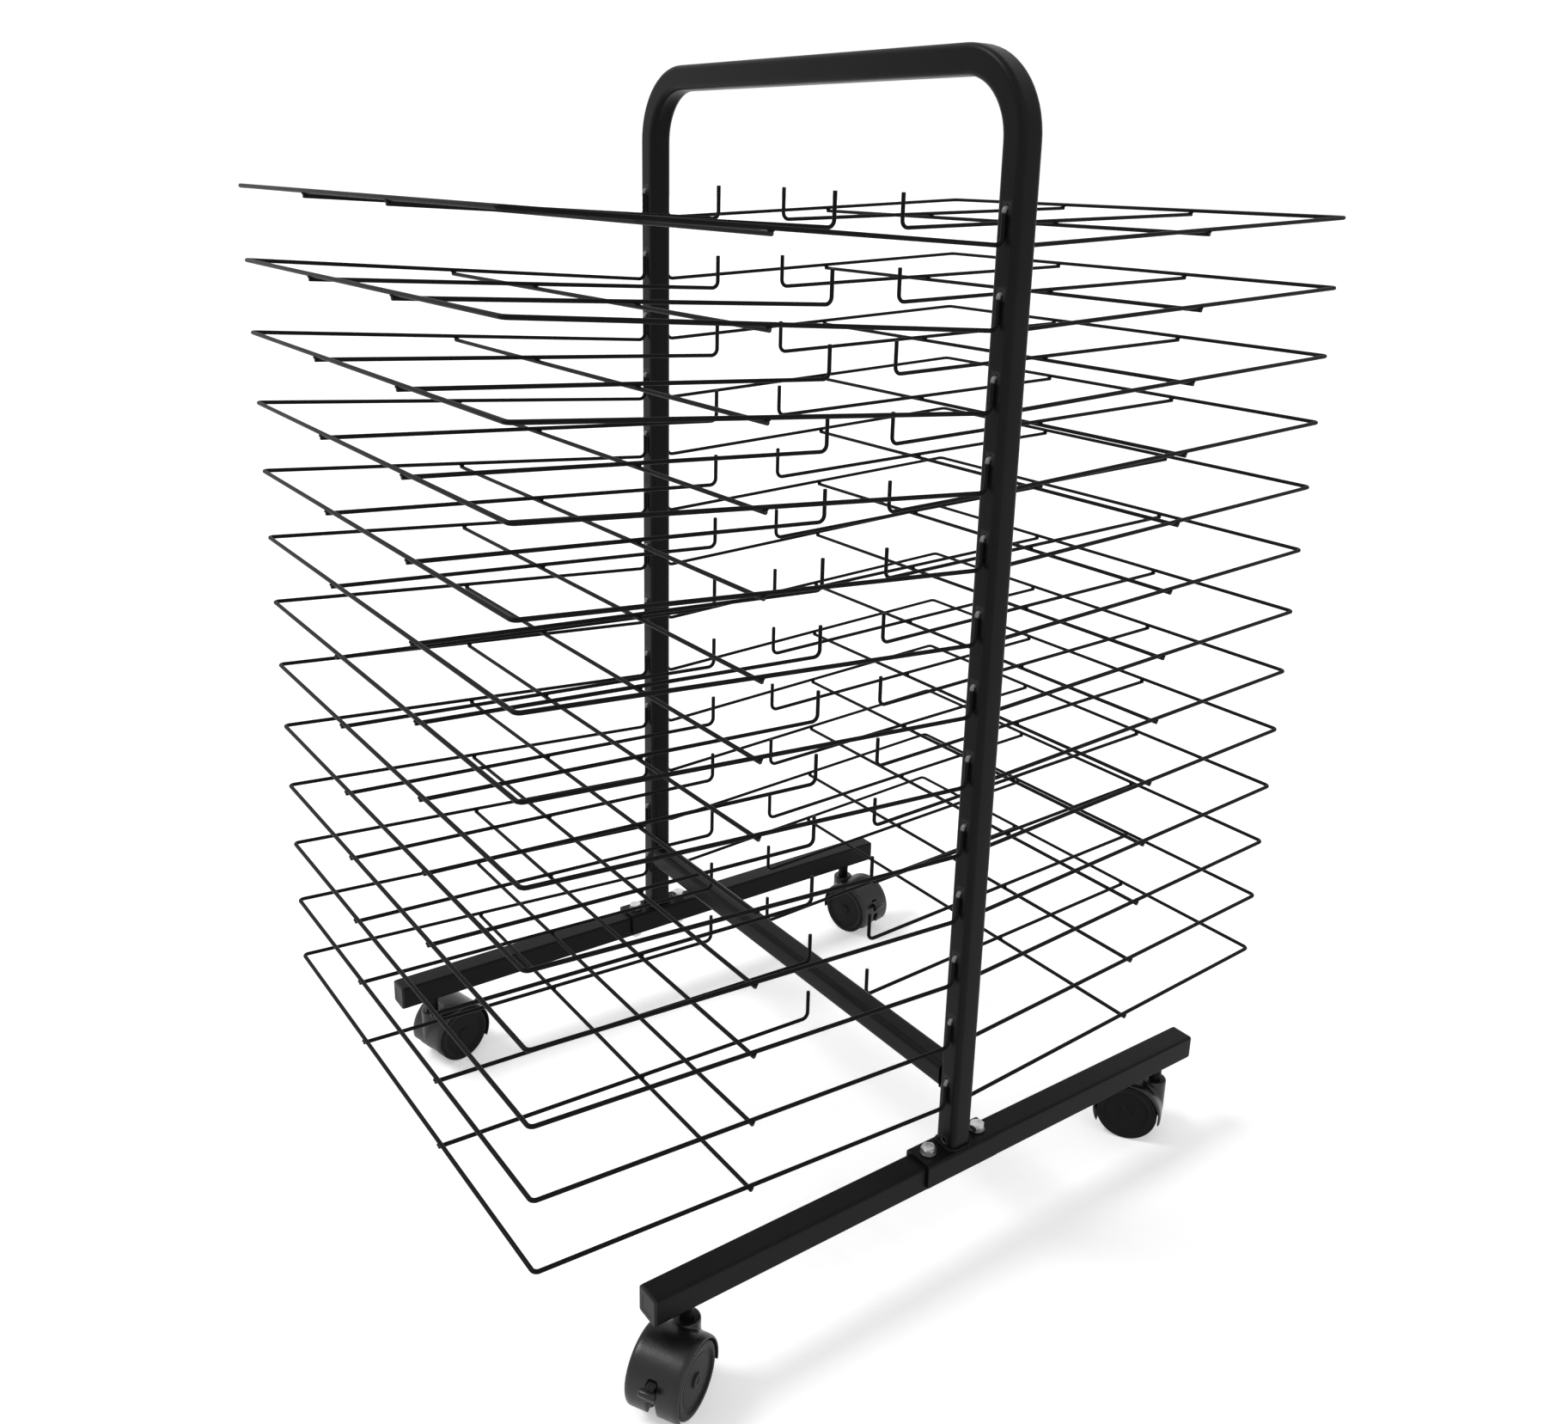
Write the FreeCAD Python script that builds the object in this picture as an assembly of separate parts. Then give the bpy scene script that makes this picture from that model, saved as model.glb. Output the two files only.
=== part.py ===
"""Two-sided art drying rack on casters.

X runs along the frame, from the left upright to the right one.  Y runs along the
shelves: the front shelves reach towards -Y and the back shelves towards +Y.
Z is up, with the floor at zero.  All sizes are millimetres.
"""
import FreeCAD, Part
import math
import os

V = FreeCAD.Vector

# ---------------------------------------------------------------- driving sizes
# Bent frame
RACK_HEIGHT = 849.0          # floor to the top of the frame
UPRIGHT_SPACING = 430.0      # between the centre lines of the two uprights
TUBE_SIDE = 19.0
TUBE_WALL = 1.5
TUBE_EDGE = 4.5              # rounding along the tube's edges
TUBE_BEND = 48.0             # top corners, to the tube's centre line
CROSSBAR_HEIGHT = 142.5      # floor to the crossbar's centre line

# Shelf levels, spread evenly between the lowest and the highest hook hole
LEVEL_COUNT = 13
TOP_HOOK_DROP = 95.4         # top of the frame down to the highest hook hole
LOWEST_HOOK_HEIGHT = 144.0   # floor to the lowest hook hole in use
SPARE_HOOK_LEVELS = 1        # unused holes below the lowest shelf
HOOK_HOLE = 4.4

# Wire shelf
RIM_WIRE = 3.0
CROSS_WIRE = 2.6
SHELF_REACH = 336.5          # frame plane to the outer edge wire, along Y
SHELF_TILT = 3.3             # degrees, outer edge higher
RISER = 22.0                 # arm up to the hook hole
HOOK_LEG = 9.0               # hooked end standing up inside the tube
WALL_SEAT = 0.3              # riser to the tube's face
RIM_CORNER = 9.0
RISER_BEND = 5.0
HOOK_BEND = 2.2
STOP_HEIGHT = 24.0           # turned-up paper stops
STOP_REACH = 30.0            # frame plane to a paper stop
STOP_BEND = 5.0
CROSS_REACH = 181.0          # frame plane to the cross wire
WIRE_OVERHANG = 4.0          # wire ends past the wire they are welded to
WELD_SEAT = 0.012            # lifts the sloping long wires on to the flats below
WIRE_SIDES = 8
BEND_CHORDS = 2

# Feet, saddles and bolts
FOOT_LENGTH = 516.0
FOOT_SIDE = 20.0
FOOT_WALL = 1.5
FOOT_EDGE = 2.0
CAP_FLANGE = 2.0
CAP_DEPTH = 12.0
CAP_WALL = 1.6
CAP_FIT = 0.1
SADDLE_LENGTH = 68.0
SADDLE_PLATE = 2.5
SADDLE_DROP = 16.0           # side flanges below the foot's top
SADDLE_FIT = 0.2
SADDLE_EDGE = 2.5
BOLT = 6.0
BOLT_SPACING = 48.0
BOLT_HEAD = 4.0
BOLT_HEX = 10.0
BOLT_CROWN = 9.2             # flat on top of the head
BOLT_CLEARANCE = 0.4
BOLT_TAIL = 2.0              # thread showing past the nut
NUT_HEIGHT = 5.0
NUT_BORE_FIT = 0.1
WASHER = 12.0
WASHER_HEIGHT = 1.6

# Casters
CASTER_HEIGHT = 66.0         # floor to the underside of the foot
CASTER_INSET = 30.0          # caster stem in from the foot's end
CASTER_TRAIL = 19.0          # stem to the wheel axle
WHEEL = 50.0
WHEEL_WIDTH = 13.0
WHEEL_EDGE = 1.8
WHEEL_DISH = 1.2
WHEEL_RIM = 4.5
WHEEL_SKIN = 3.0
HUB = 14.0
HUB_CAP = 10.0
WHEEL_GAP = 0.9              # wheel to the hood's web
AXLE = 6.0
AXLE_FIT = 0.05
WEB = 10.0                   # hood's middle plate, between the wheels
HOOD_GAP = 1.0               # wheel tread to the hood
HOOD_SKIN = 2.2
HOOD_SIDE = 1.0              # hood past the wheel's outer face
HOOD_FRONT_ANGLE = 192.0     # hood's arc about the axle, from the trailing side
HOOD_TAIL_ANGLE = -28.0
NECK = 19.0
NECK_TOP = 52.5
STEM_THREAD = 8.0
STEM_COLLAR = 10.0
STEM_PINTLE = 7.0
STEM_PINTLE_DEPTH = 22.0
STEM_FIT = 0.08
STEM_PLAY = 0.3
STEM_SOCKET_PLAY = 1.0       # socket deeper than the pintle
STEM_NUT_HEX = 13.0
STEM_NUT_HEIGHT = 6.5
LEVER = 6.0                  # brake lever's thickness
LEVER_SIDE_PLAY = 0.3
LEVER_HEIGHT = 5.0
LEVER_PIVOT_REACH = 15.5     # axle to the lever's pivot
LEVER_PIVOT_ANGLE = 46.0
LEVER_TIP_REACH = 33.0
LEVER_TIP_ANGLE = 16.0
LEVER_BOSS = 9.0
LEVER_BOSS_PLAY = 0.5
LEVER_HUB_WALL = 1.0         # plastic left round the hub under the lever's slot
LEVER_WINDOW_LOW = 5.0       # lever's window in the cover, angles about the axle
LEVER_WINDOW_TOP = 29.0
TAIL_SLOT_TOP = -2.0         # open slot below the window, down to the cover's edge
TAIL_SLOT_REACH = 20.5       # axle to the bottom of that slot
LEVER_PIN = 4.0
LEVER_PIN_FIT = 0.05
LEVER_STROKE = 12.0          # degrees
# Way each caster trails, in degrees from +X
CASTER_HEADINGS = {
    "front_left": 104.0,
    "front_right": -61.0,
    "back_left": 12.0,
    "back_right": 215.0,
}

# ------------------------------------------------------------ sizes worked out
HALF_SPAN = UPRIGHT_SPACING / 2
TOP_HOOK_HEIGHT = RACK_HEIGHT - TOP_HOOK_DROP
LEVEL_PITCH = (TOP_HOOK_HEIGHT - LOWEST_HOOK_HEIGHT) / (LEVEL_COUNT - 1)
FACE = TUBE_SIDE / 2                       # frame plane to a tube face
FOOT_TOP = CASTER_HEIGHT + FOOT_SIDE
SADDLE_TOP = FOOT_TOP + SADDLE_PLATE
AXLE_HEIGHT = WHEEL / 2
CASTER_Y = FOOT_LENGTH / 2 + CAP_FLANGE - CASTER_INSET
HOOD_INNER = WHEEL / 2 + HOOD_GAP
HOOD_OUTER = HOOD_INNER + HOOD_SKIN
WHEEL_INNER_FACE = WEB / 2 + WHEEL_GAP
WHEEL_OUTER_FACE = WHEEL_INNER_FACE + WHEEL_WIDTH
CASTER_PLACES = {
    "front_left": (-HALF_SPAN, -CASTER_Y),
    "front_right": (HALF_SPAN, -CASTER_Y),
    "back_left": (-HALF_SPAN, CASTER_Y),
    "back_right": (HALF_SPAN, CASTER_Y),
}
BOLT_PLACES = [(x, y) for x in (-HALF_SPAN, HALF_SPAN)
               for y in (-BOLT_SPACING / 2, BOLT_SPACING / 2)]
HOOK_HEIGHTS = [LOWEST_HOOK_HEIGHT + LEVEL_PITCH * step
                for step in range(-SPARE_HOOK_LEVELS, LEVEL_COUNT)]


# ------------------------------------------------------------------- tool kit
def cylinder(diameter, start, direction, length):
    return Part.makeCylinder(diameter / 2, length, start, direction)


def box(size, centre):
    corner = centre - V(size[0], size[1], size[2]) * 0.5
    return Part.makeBox(size[0], size[1], size[2], corner)


def rounded_square(side, edge, origin, u, v):
    """Face of a square with rounded corners, centred on origin in the u-v plane."""
    flat = side / 2 - edge
    slant = edge * math.sqrt(0.5)
    lines = []
    for turn in range(4):
        angle = math.radians(90 * turn)
        out = u * math.cos(angle) + v * math.sin(angle)
        along = v * math.cos(angle) - u * math.sin(angle)
        start = origin + out * (side / 2) - along * flat
        end = origin + out * (side / 2) + along * flat
        heart = origin + out * flat + along * flat
        middle = heart + (out + along) * slant
        after = origin + out * flat + along * (side / 2)
        lines.append(Part.LineSegment(start, end).toShape())
        lines.append(Part.Arc(end, middle, after).toShape())
    return Part.Face(Part.Wire(lines))


def square_bar(side, edge, start, direction, length):
    """Straight bar of rounded square section."""
    u = V(1, 0, 0) if abs(direction.x) < 0.5 else V(0, 1, 0)
    face = rounded_square(side, edge, start, u, direction.cross(u))
    return face.extrude(direction * length)


def square_tube(side, wall, edge, start, direction, length):
    outer = square_bar(side, edge, start, direction, length)
    inner = square_bar(side - 2 * wall, edge - wall, start, direction, length)
    return outer.cut(inner)


def wire_path(points, bends):
    """Points along straight runs, with each inner corner rounded off by chords."""
    path = [points[0]]
    for before, corner, after, bend in zip(points, points[1:], points[2:], bends):
        back = (before - corner).normalize()
        ahead = (after - corner).normalize()
        half = back.getAngle(ahead) / 2
        bisector = (back + ahead).normalize()
        heart = corner + bisector * (bend / math.sin(half))
        sideways = (ahead - back).normalize()
        sweep = math.pi / 2 - half
        for step in range(BEND_CHORDS + 1):
            angle = sweep * (2 * step / BEND_CHORDS - 1)
            path.append(heart - bisector * (bend * math.cos(angle))
                        + sideways * (bend * math.sin(angle)))
    return path + [points[-1]]


def bent_wire(path, side, diameter):
    """Eight-sided wire along a path, mitred at its corners.

    One pair of flats faces along side, so that crossing wires meet flat on flat.
    The flats keep the shelves, with all their bends, light enough to simulate.
    """
    way = (path[1] - path[0]).normalize()
    across = way.cross(side)
    reach = diameter / 2 / math.cos(math.pi / WIRE_SIDES)
    ring = []
    for number in range(WIRE_SIDES):
        angle = 2 * math.pi * (number + 0.5) / WIRE_SIDES
        ring.append(path[0] + side * (reach * math.cos(angle))
                    + across * (reach * math.sin(angle)))
    rings = [ring]
    for start, end, after in zip(path, path[1:], path[2:] + [None]):
        way = (end - start).normalize()
        mitre = way if after is None else (way + (after - end).normalize())
        ring = [point + way * ((end - point).dot(mitre) / way.dot(mitre))
                for point in ring]
        rings.append(ring)
    faces = [Part.Face(Part.makePolygon(ring + ring[:1])) for ring in (rings[0], rings[-1])]
    for one, two in zip(rings, rings[1:]):
        for i in range(WIRE_SIDES):
            j = (i + 1) % WIRE_SIDES
            corners = [one[i], one[j], two[j], two[i], one[i]]
            faces.append(Part.Face(Part.makePolygon(corners)))
    return Part.makeSolid(Part.makeShell(faces))


def revolved(profile, origin, axis):
    """Solid turned from (radius, height) points about an axis through origin."""
    side = V(0, 1, 0) if abs(axis.x) > 0.5 else V(1, 0, 0)
    points = [origin + side * radius + axis * height for radius, height in profile]
    outline = Part.makePolygon(points + points[:1])
    return Part.Face(outline).revolve(origin, axis, 360)


def hexagon(across_flats, start, height):
    corners = []
    for side in range(7):
        angle = math.radians(60 * side)
        reach = across_flats / math.sqrt(3)
        corners.append(start + V(reach * math.cos(angle), reach * math.sin(angle), 0))
    return Part.Face(Part.makePolygon(corners)).extrude(V(0, 0, height))


def group(shapes):
    return Part.makeCompound(shapes)


def half_turn(shape):
    """The same piece on the other side of the rack."""
    turned = shape.copy()
    turned.rotate(V(0, 0, 0), V(0, 0, 1), 180)
    return turned


# ---------------------------------------------------------------------- frame
def inverted_u(side, edge):
    """Solid inverted U: two legs, two round corners and the top, one section."""
    corner_height = RACK_HEIGHT - TUBE_SIDE / 2 - TUBE_BEND
    leg_length = corner_height - SADDLE_TOP
    pieces = []
    for way in (-1, 1):
        foot = V(way * HALF_SPAN, 0, SADDLE_TOP)
        pieces.append(square_bar(side, edge, foot, V(0, 0, 1), leg_length))
        top_of_leg = V(way * HALF_SPAN, 0, corner_height)
        section = rounded_square(side, edge, top_of_leg, V(1, 0, 0), V(0, 1, 0))
        heart = V(way * (HALF_SPAN - TUBE_BEND), 0, corner_height)
        pieces.append(section.revolve(heart, V(0, -way, 0), 90))
    start = V(TUBE_BEND - HALF_SPAN, 0, corner_height + TUBE_BEND)
    top_length = UPRIGHT_SPACING - 2 * TUBE_BEND
    pieces.append(square_bar(side, edge, start, V(1, 0, 0), top_length))
    return pieces[0].fuse(pieces[1:]).removeSplitter()


def u_frame():
    """Bent tube with a row of hook holes through the front and back of each leg."""
    tube = inverted_u(TUBE_SIDE, TUBE_EDGE)
    tube = tube.cut(inverted_u(TUBE_SIDE - 2 * TUBE_WALL, TUBE_EDGE - TUBE_WALL))
    drills = []
    for x in (-HALF_SPAN, HALF_SPAN):
        for height in HOOK_HEIGHTS:
            start = V(x, -TUBE_SIDE, height)
            drills.append(cylinder(HOOK_HOLE, start, V(0, 1, 0), 2 * TUBE_SIDE))
    return tube.cut(drills)


def crossbar():
    start = V(FACE - HALF_SPAN, 0, CROSSBAR_HEIGHT)
    length = UPRIGHT_SPACING - TUBE_SIDE
    return square_tube(TUBE_SIDE, TUBE_WALL, TUBE_EDGE, start, V(1, 0, 0), length)


def bolt_holes(x):
    """Clearance drills for the two bolts of one saddle, past the whole foot."""
    size = BOLT + BOLT_CLEARANCE
    start_height = CASTER_HEIGHT - FOOT_SIDE
    return [cylinder(size, V(px, py, start_height), V(0, 0, 1), 3 * FOOT_SIDE)
            for px, py in BOLT_PLACES if px == x]


def saddle(x):
    """Folded channel under an upright, straddling the foot rail."""
    inner = FOOT_SIDE + 2 * SADDLE_FIT
    outer = inner + 2 * SADDLE_PLATE
    height = SADDLE_PLATE + SADDLE_DROP
    centre = V(x, 0, SADDLE_TOP - height / 2)
    channel = box((outer, SADDLE_LENGTH, height), centre)
    folds = [edge for edge in channel.Edges
             if abs(edge.BoundBox.ZMin - SADDLE_TOP) < 0.01
             and edge.BoundBox.YLength > SADDLE_LENGTH / 2]
    channel = channel.makeFillet(SADDLE_EDGE, folds)
    hollow = box((inner, 2 * SADDLE_LENGTH, height), centre - V(0, 0, SADDLE_PLATE))
    return channel.cut([hollow] + bolt_holes(x))


def foot(x):
    """Foot rail: square tube with bolt holes and a hole under each end."""
    start = V(x, -FOOT_LENGTH / 2, CASTER_HEIGHT + FOOT_SIDE / 2)
    rail = square_tube(FOOT_SIDE, FOOT_WALL, FOOT_EDGE, start, V(0, 1, 0), FOOT_LENGTH)
    drills = bolt_holes(x)
    size = STEM_THREAD + BOLT_CLEARANCE
    for y in (-CASTER_Y, CASTER_Y):
        start = V(x, y, CASTER_HEIGHT - FOOT_WALL)
        drills.append(cylinder(size, start, V(0, 0, 1), 3 * FOOT_WALL))
    return rail.cut(drills)


def foot_end_caps():
    """Four hollow push-in plugs that close the foot rails."""
    plug_side = FOOT_SIDE - 2 * FOOT_WALL - 2 * CAP_FIT
    height = CASTER_HEIGHT + FOOT_SIDE / 2
    caps = []
    for x in (-HALF_SPAN, HALF_SPAN):
        for way in (-1, 1):
            inward = V(0, -way, 0)
            mouth = V(x, way * FOOT_LENGTH / 2, height)
            flange = square_bar(FOOT_SIDE, FOOT_EDGE, mouth, V(0, way, 0), CAP_FLANGE)
            plug = square_bar(plug_side, CAP_WALL, mouth, inward, CAP_DEPTH)
            hollow = box((plug_side - 2 * CAP_WALL, 2 * CAP_DEPTH,
                          plug_side - 2 * CAP_WALL), mouth + inward * CAP_DEPTH)
            caps.append(flange.fuse(plug.cut(hollow)).removeSplitter())
    return group(caps)


def saddle_bolts():
    """Hexagon bolts down through washer, saddle and foot."""
    bolts = []
    head_seat = SADDLE_TOP + WASHER_HEIGHT
    shank_end = CASTER_HEIGHT - NUT_HEIGHT - BOLT_TAIL
    crown = BOLT_CROWN / 2
    for x, y in BOLT_PLACES:
        head = hexagon(BOLT_HEX, V(x, y, head_seat), BOLT_HEAD)
        dome = revolved([(0, 0), (BOLT_HEX, 0), (BOLT_HEX, BOLT_HEAD / 2),
                         (crown, BOLT_HEAD), (0, BOLT_HEAD)],
                        V(x, y, head_seat), V(0, 0, 1))
        shank = cylinder(BOLT, V(x, y, shank_end), V(0, 0, 1), head_seat - shank_end)
        bolts.append(head.common(dome).fuse(shank))
    return group(bolts)


def saddle_washers():
    washers = []
    for x, y in BOLT_PLACES:
        disc = cylinder(WASHER, V(x, y, SADDLE_TOP), V(0, 0, 1), WASHER_HEIGHT)
        hole = cylinder(BOLT + BOLT_CLEARANCE, V(x, y, SADDLE_TOP), V(0, 0, 1),
                        WASHER_HEIGHT)
        washers.append(disc.cut(hole))
    return group(washers)


def nut(across_flats, thread, height, place):
    blank = hexagon(across_flats, place, height)
    return blank.cut(cylinder(thread + NUT_BORE_FIT, place, V(0, 0, 1), height))


def saddle_nuts():
    seat = CASTER_HEIGHT - NUT_HEIGHT
    return group([nut(BOLT_HEX, BOLT, NUT_HEIGHT, V(x, y, seat))
                  for x, y in BOLT_PLACES])


# --------------------------------------------------------------------- shelves
def wire_shelf(hook_height):
    """One shelf of the back side: four wires, welded where they cross.

    The rim wire starts inside the left upright, comes out of its hook hole, drops
    down the tube's face, runs out round the shelf and ends in the right upright.
    """
    riser_y = FACE + WALL_SEAT + RIM_WIRE / 2
    leg_y = riser_y + RIM_WIRE / 2 - WALL_SEAT - TUBE_WALL - 2 * RIM_WIRE
    tilt = math.radians(SHELF_TILT)
    out = V(0, math.cos(tilt), math.sin(tilt))
    up = V(0, -math.sin(tilt), math.cos(tilt))
    base = V(0, riser_y, hook_height - RISER)

    def on_shelf(x, reach, lift):
        """Point at a distance from the frame plane and a lift off the rim's plane."""
        along = (reach - riser_y) / math.cos(tilt)
        return base + V(x, 0, 0) + out * along + up * lift

    half = []
    for x in (-HALF_SPAN, HALF_SPAN):
        half.append([
            V(x, leg_y, hook_height + HOOK_LEG),
            V(x, leg_y, hook_height),
            V(x, riser_y, hook_height),
            V(x, riser_y, hook_height - RISER),
            on_shelf(x, SHELF_REACH, 0),
        ])
    bends = [HOOK_BEND, HOOK_BEND, RISER_BEND, RIM_CORNER,
             RIM_CORNER, RISER_BEND, HOOK_BEND, HOOK_BEND]
    rim = wire_path(half[0] + half[1][::-1], bends)
    wires = [bent_wire(rim, V(1, 0, 0), RIM_WIRE)]

    # The cross wire lies under the arms; the long wires lie on it and on the rim.
    weld = (RIM_WIRE + CROSS_WIRE) / 2
    cross_end = HALF_SPAN + WIRE_OVERHANG
    cross = [on_shelf(x, CROSS_REACH, -weld) for x in (-cross_end, cross_end)]
    wires.append(bent_wire(cross, up, CROSS_WIRE))
    cross_lift = CROSS_WIRE - weld + WELD_SEAT
    rim_lift = weld + WELD_SEAT
    slope = (rim_lift - cross_lift) / (SHELF_REACH - CROSS_REACH)
    stop_lift = rim_lift - slope * (SHELF_REACH - STOP_REACH)
    tip_lift = rim_lift + slope * WIRE_OVERHANG
    for x in (-UPRIGHT_SPACING / 6, UPRIGHT_SPACING / 6):
        corner = on_shelf(x, STOP_REACH, stop_lift)
        tip = on_shelf(x, SHELF_REACH + WIRE_OVERHANG, tip_lift)
        stop = corner + V(0, 0, STOP_HEIGHT)
        long_wire = wire_path([stop, corner, tip], [STOP_BEND])
        wires.append(bent_wire(long_wire, V(1, 0, 0), CROSS_WIRE))
    return group(wires)


# --------------------------------------------------------------------- casters
def caster_stem(place):
    """Steel stem: thread in the foot, collar under it, pintle in the hood."""
    x, y = place
    collar_seat = NECK_TOP + STEM_PLAY
    pintle_end = NECK_TOP - STEM_PINTLE_DEPTH
    thread_end = CASTER_HEIGHT + FOOT_WALL + STEM_NUT_HEIGHT + BOLT_TAIL
    return revolved([
        (0, pintle_end), (STEM_PINTLE / 2, pintle_end),
        (STEM_PINTLE / 2, collar_seat), (STEM_COLLAR / 2, collar_seat),
        (STEM_COLLAR / 2, CASTER_HEIGHT), (STEM_THREAD / 2, CASTER_HEIGHT),
        (STEM_THREAD / 2, thread_end), (0, thread_end),
    ], V(x, y, 0), V(0, 0, 1))


def caster_stems():
    return group([caster_stem(place) for place in CASTER_PLACES.values()])


def stem_nuts():
    """Nuts on the caster stems, inside the foot rails."""
    seat = CASTER_HEIGHT + FOOT_WALL
    return group([nut(STEM_NUT_HEX, STEM_THREAD, STEM_NUT_HEIGHT, V(x, y, seat))
                  for x, y in CASTER_PLACES.values()])


# Each caster is drawn with its stem on the Z axis and its wheels trailing to +Y.
AXLE_CENTRE = V(0, CASTER_TRAIL, AXLE_HEIGHT)


def around_axle(reach, angle, x=0.0):
    """Point about the axle; angles rise from the trailing side."""
    turn = math.radians(angle)
    return AXLE_CENTRE + V(x, reach * math.cos(turn), reach * math.sin(turn))


def sector(radius, start_angle, end_angle, width):
    """Slice of a disc about the axle, as wide as given and centred between wheels."""
    x = -width / 2
    middle = (start_angle + end_angle) / 2
    hub = around_axle(0, 0, x)
    first = around_axle(radius, start_angle, x)
    last = around_axle(radius, end_angle, x)
    rim = Part.Arc(first, around_axle(radius, middle, x), last).toShape()
    sides = [Part.LineSegment(hub, first).toShape(), rim,
             Part.LineSegment(last, hub).toShape()]
    return Part.Face(Part.Wire(sides)).extrude(V(width, 0, 0))


def lever_shape():
    """Brake lever's side view, from its pivot out to the tip."""
    pivot = around_axle(LEVER_PIVOT_REACH, LEVER_PIVOT_ANGLE, -LEVER / 2)
    tip = around_axle(LEVER_TIP_REACH, LEVER_TIP_ANGLE, -LEVER / 2)
    way = (tip - pivot).normalize()
    side = way.cross(V(1, 0, 0)) * (LEVER_HEIGHT / 2)
    corners = [pivot + side, tip + side, tip - side, pivot - side, pivot + side]
    bar = Part.Face(Part.makePolygon(corners)).extrude(V(LEVER, 0, 0))
    boss = cylinder(LEVER_BOSS, pivot, V(1, 0, 0), LEVER)
    end = cylinder(LEVER_HEIGHT, tip, V(1, 0, 0), LEVER)
    return bar.fuse([boss, end])


def brake_lever():
    """Lever with a stub pin on each side that turns in the hood's web."""
    start = around_axle(LEVER_PIVOT_REACH, LEVER_PIVOT_ANGLE, -WEB / 2)
    pin = cylinder(LEVER_PIN, start, V(1, 0, 0), WEB)
    return lever_shape().fuse(pin).removeSplitter()


def lever_room():
    """Slot in the hood that the lever moves in, over its whole stroke."""
    width = LEVER + 2 * LEVER_SIDE_PLAY
    low = LEVER_TIP_ANGLE - LEVER_STROKE
    high = LEVER_PIVOT_ANGLE + LEVER_STROKE
    pivot = around_axle(LEVER_PIVOT_REACH, LEVER_PIVOT_ANGLE, -width / 2)
    room = sector(HOOD_INNER, low, high, width)
    boss = cylinder(LEVER_BOSS + 2 * LEVER_BOSS_PLAY, pivot, V(1, 0, 0), width)
    hub_wall = cylinder(HUB + 2 * LEVER_HUB_WALL, around_axle(0, 0, -WEB), V(1, 0, 0),
                        2 * WEB)
    window = sector(2 * HOOD_OUTER, LEVER_WINDOW_LOW, LEVER_WINDOW_TOP, width)
    window = window.cut(sector(HOOD_INNER, low, high, width))
    return room.fuse(boss).cut(hub_wall).fuse(window)


def tail_slot():
    """Open slot up the middle of the cover's lower edge."""
    width = LEVER + 2 * LEVER_SIDE_PLAY
    slot = sector(2 * HOOD_OUTER, 2 * HOOD_TAIL_ANGLE, TAIL_SLOT_TOP, width)
    heart = around_axle(0, 0, -width)
    return slot.cut(cylinder(2 * TAIL_SLOT_REACH, heart, V(1, 0, 0), 2 * width))


def caster_hood():
    """Moulded hood: cover over both wheels, web between them and a neck."""
    width = 2 * (WHEEL_OUTER_FACE + HOOD_SIDE)
    cover = sector(HOOD_OUTER, HOOD_TAIL_ANGLE, HOOD_FRONT_ANGLE, width)
    web = sector(HOOD_INNER, HOOD_TAIL_ANGLE, HOOD_FRONT_ANGLE, WEB)
    boss = cylinder(HUB, around_axle(0, 0, -WEB / 2), V(1, 0, 0), WEB)
    wheel_room = cylinder(2 * HOOD_INNER, around_axle(0, 0, -width), V(1, 0, 0),
                          2 * width)
    neck = cylinder(NECK, V(0, 0, AXLE_HEIGHT), V(0, 0, 1), NECK_TOP - AXLE_HEIGHT)
    hood = cover.fuse(neck).cut(wheel_room).fuse([web, boss]).removeSplitter()
    socket_start = NECK_TOP - STEM_PINTLE_DEPTH - STEM_SOCKET_PLAY
    socket = cylinder(STEM_PINTLE + 2 * STEM_FIT, V(0, 0, socket_start), V(0, 0, 1),
                      NECK_TOP)
    pivot = around_axle(LEVER_PIVOT_REACH, LEVER_PIVOT_ANGLE, -WEB)
    pin_hole = cylinder(LEVER_PIN + 2 * LEVER_PIN_FIT, pivot, V(1, 0, 0), 2 * WEB)
    axle_hole = cylinder(AXLE, around_axle(0, 0, -WEB), V(1, 0, 0), 2 * WEB)
    return hood.cut([socket, pin_hole, axle_hole, lever_room(), tail_slot()])


def caster_axle():
    length = 2 * (WHEEL_OUTER_FACE - WHEEL_SKIN - WHEEL_DISH)
    return cylinder(AXLE, around_axle(0, 0, -length / 2), V(1, 0, 0), length)


def caster_wheel(side):
    """Moulded wheel: rim, thin dished face and a blind hub, open to the web."""
    back = WHEEL_INNER_FACE
    front = WHEEL_OUTER_FACE
    dish = front - WHEEL_DISH
    floor = dish - WHEEL_SKIN
    tread = WHEEL / 2
    rim = tread - WHEEL_RIM
    bore = AXLE / 2 + AXLE_FIT
    return revolved([
        (0, floor + WHEEL_SKIN / 2), (bore, floor + WHEEL_SKIN / 2), (bore, back),
        (HUB / 2, back), (HUB / 2, floor), (rim, floor), (rim, back),
        (tread - WHEEL_EDGE, back), (tread, back + WHEEL_EDGE),
        (tread, front - WHEEL_EDGE), (tread - WHEEL_EDGE, front),
        (rim, front), (rim - WHEEL_DISH, dish), (HUB_CAP / 2, dish),
        (HUB_CAP / 2, front), (0, front),
    ], AXLE_CENTRE, V(side, 0, 0))


def on_caster(shape, name):
    """Turn a caster piece to its heading and set it under its foot."""
    x, y = CASTER_PLACES[name]
    placed = shape.copy()
    placed.rotate(V(0, 0, 0), V(0, 0, 1), CASTER_HEADINGS[name] - 90)
    placed.translate(V(x, y, 0))
    return placed


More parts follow.
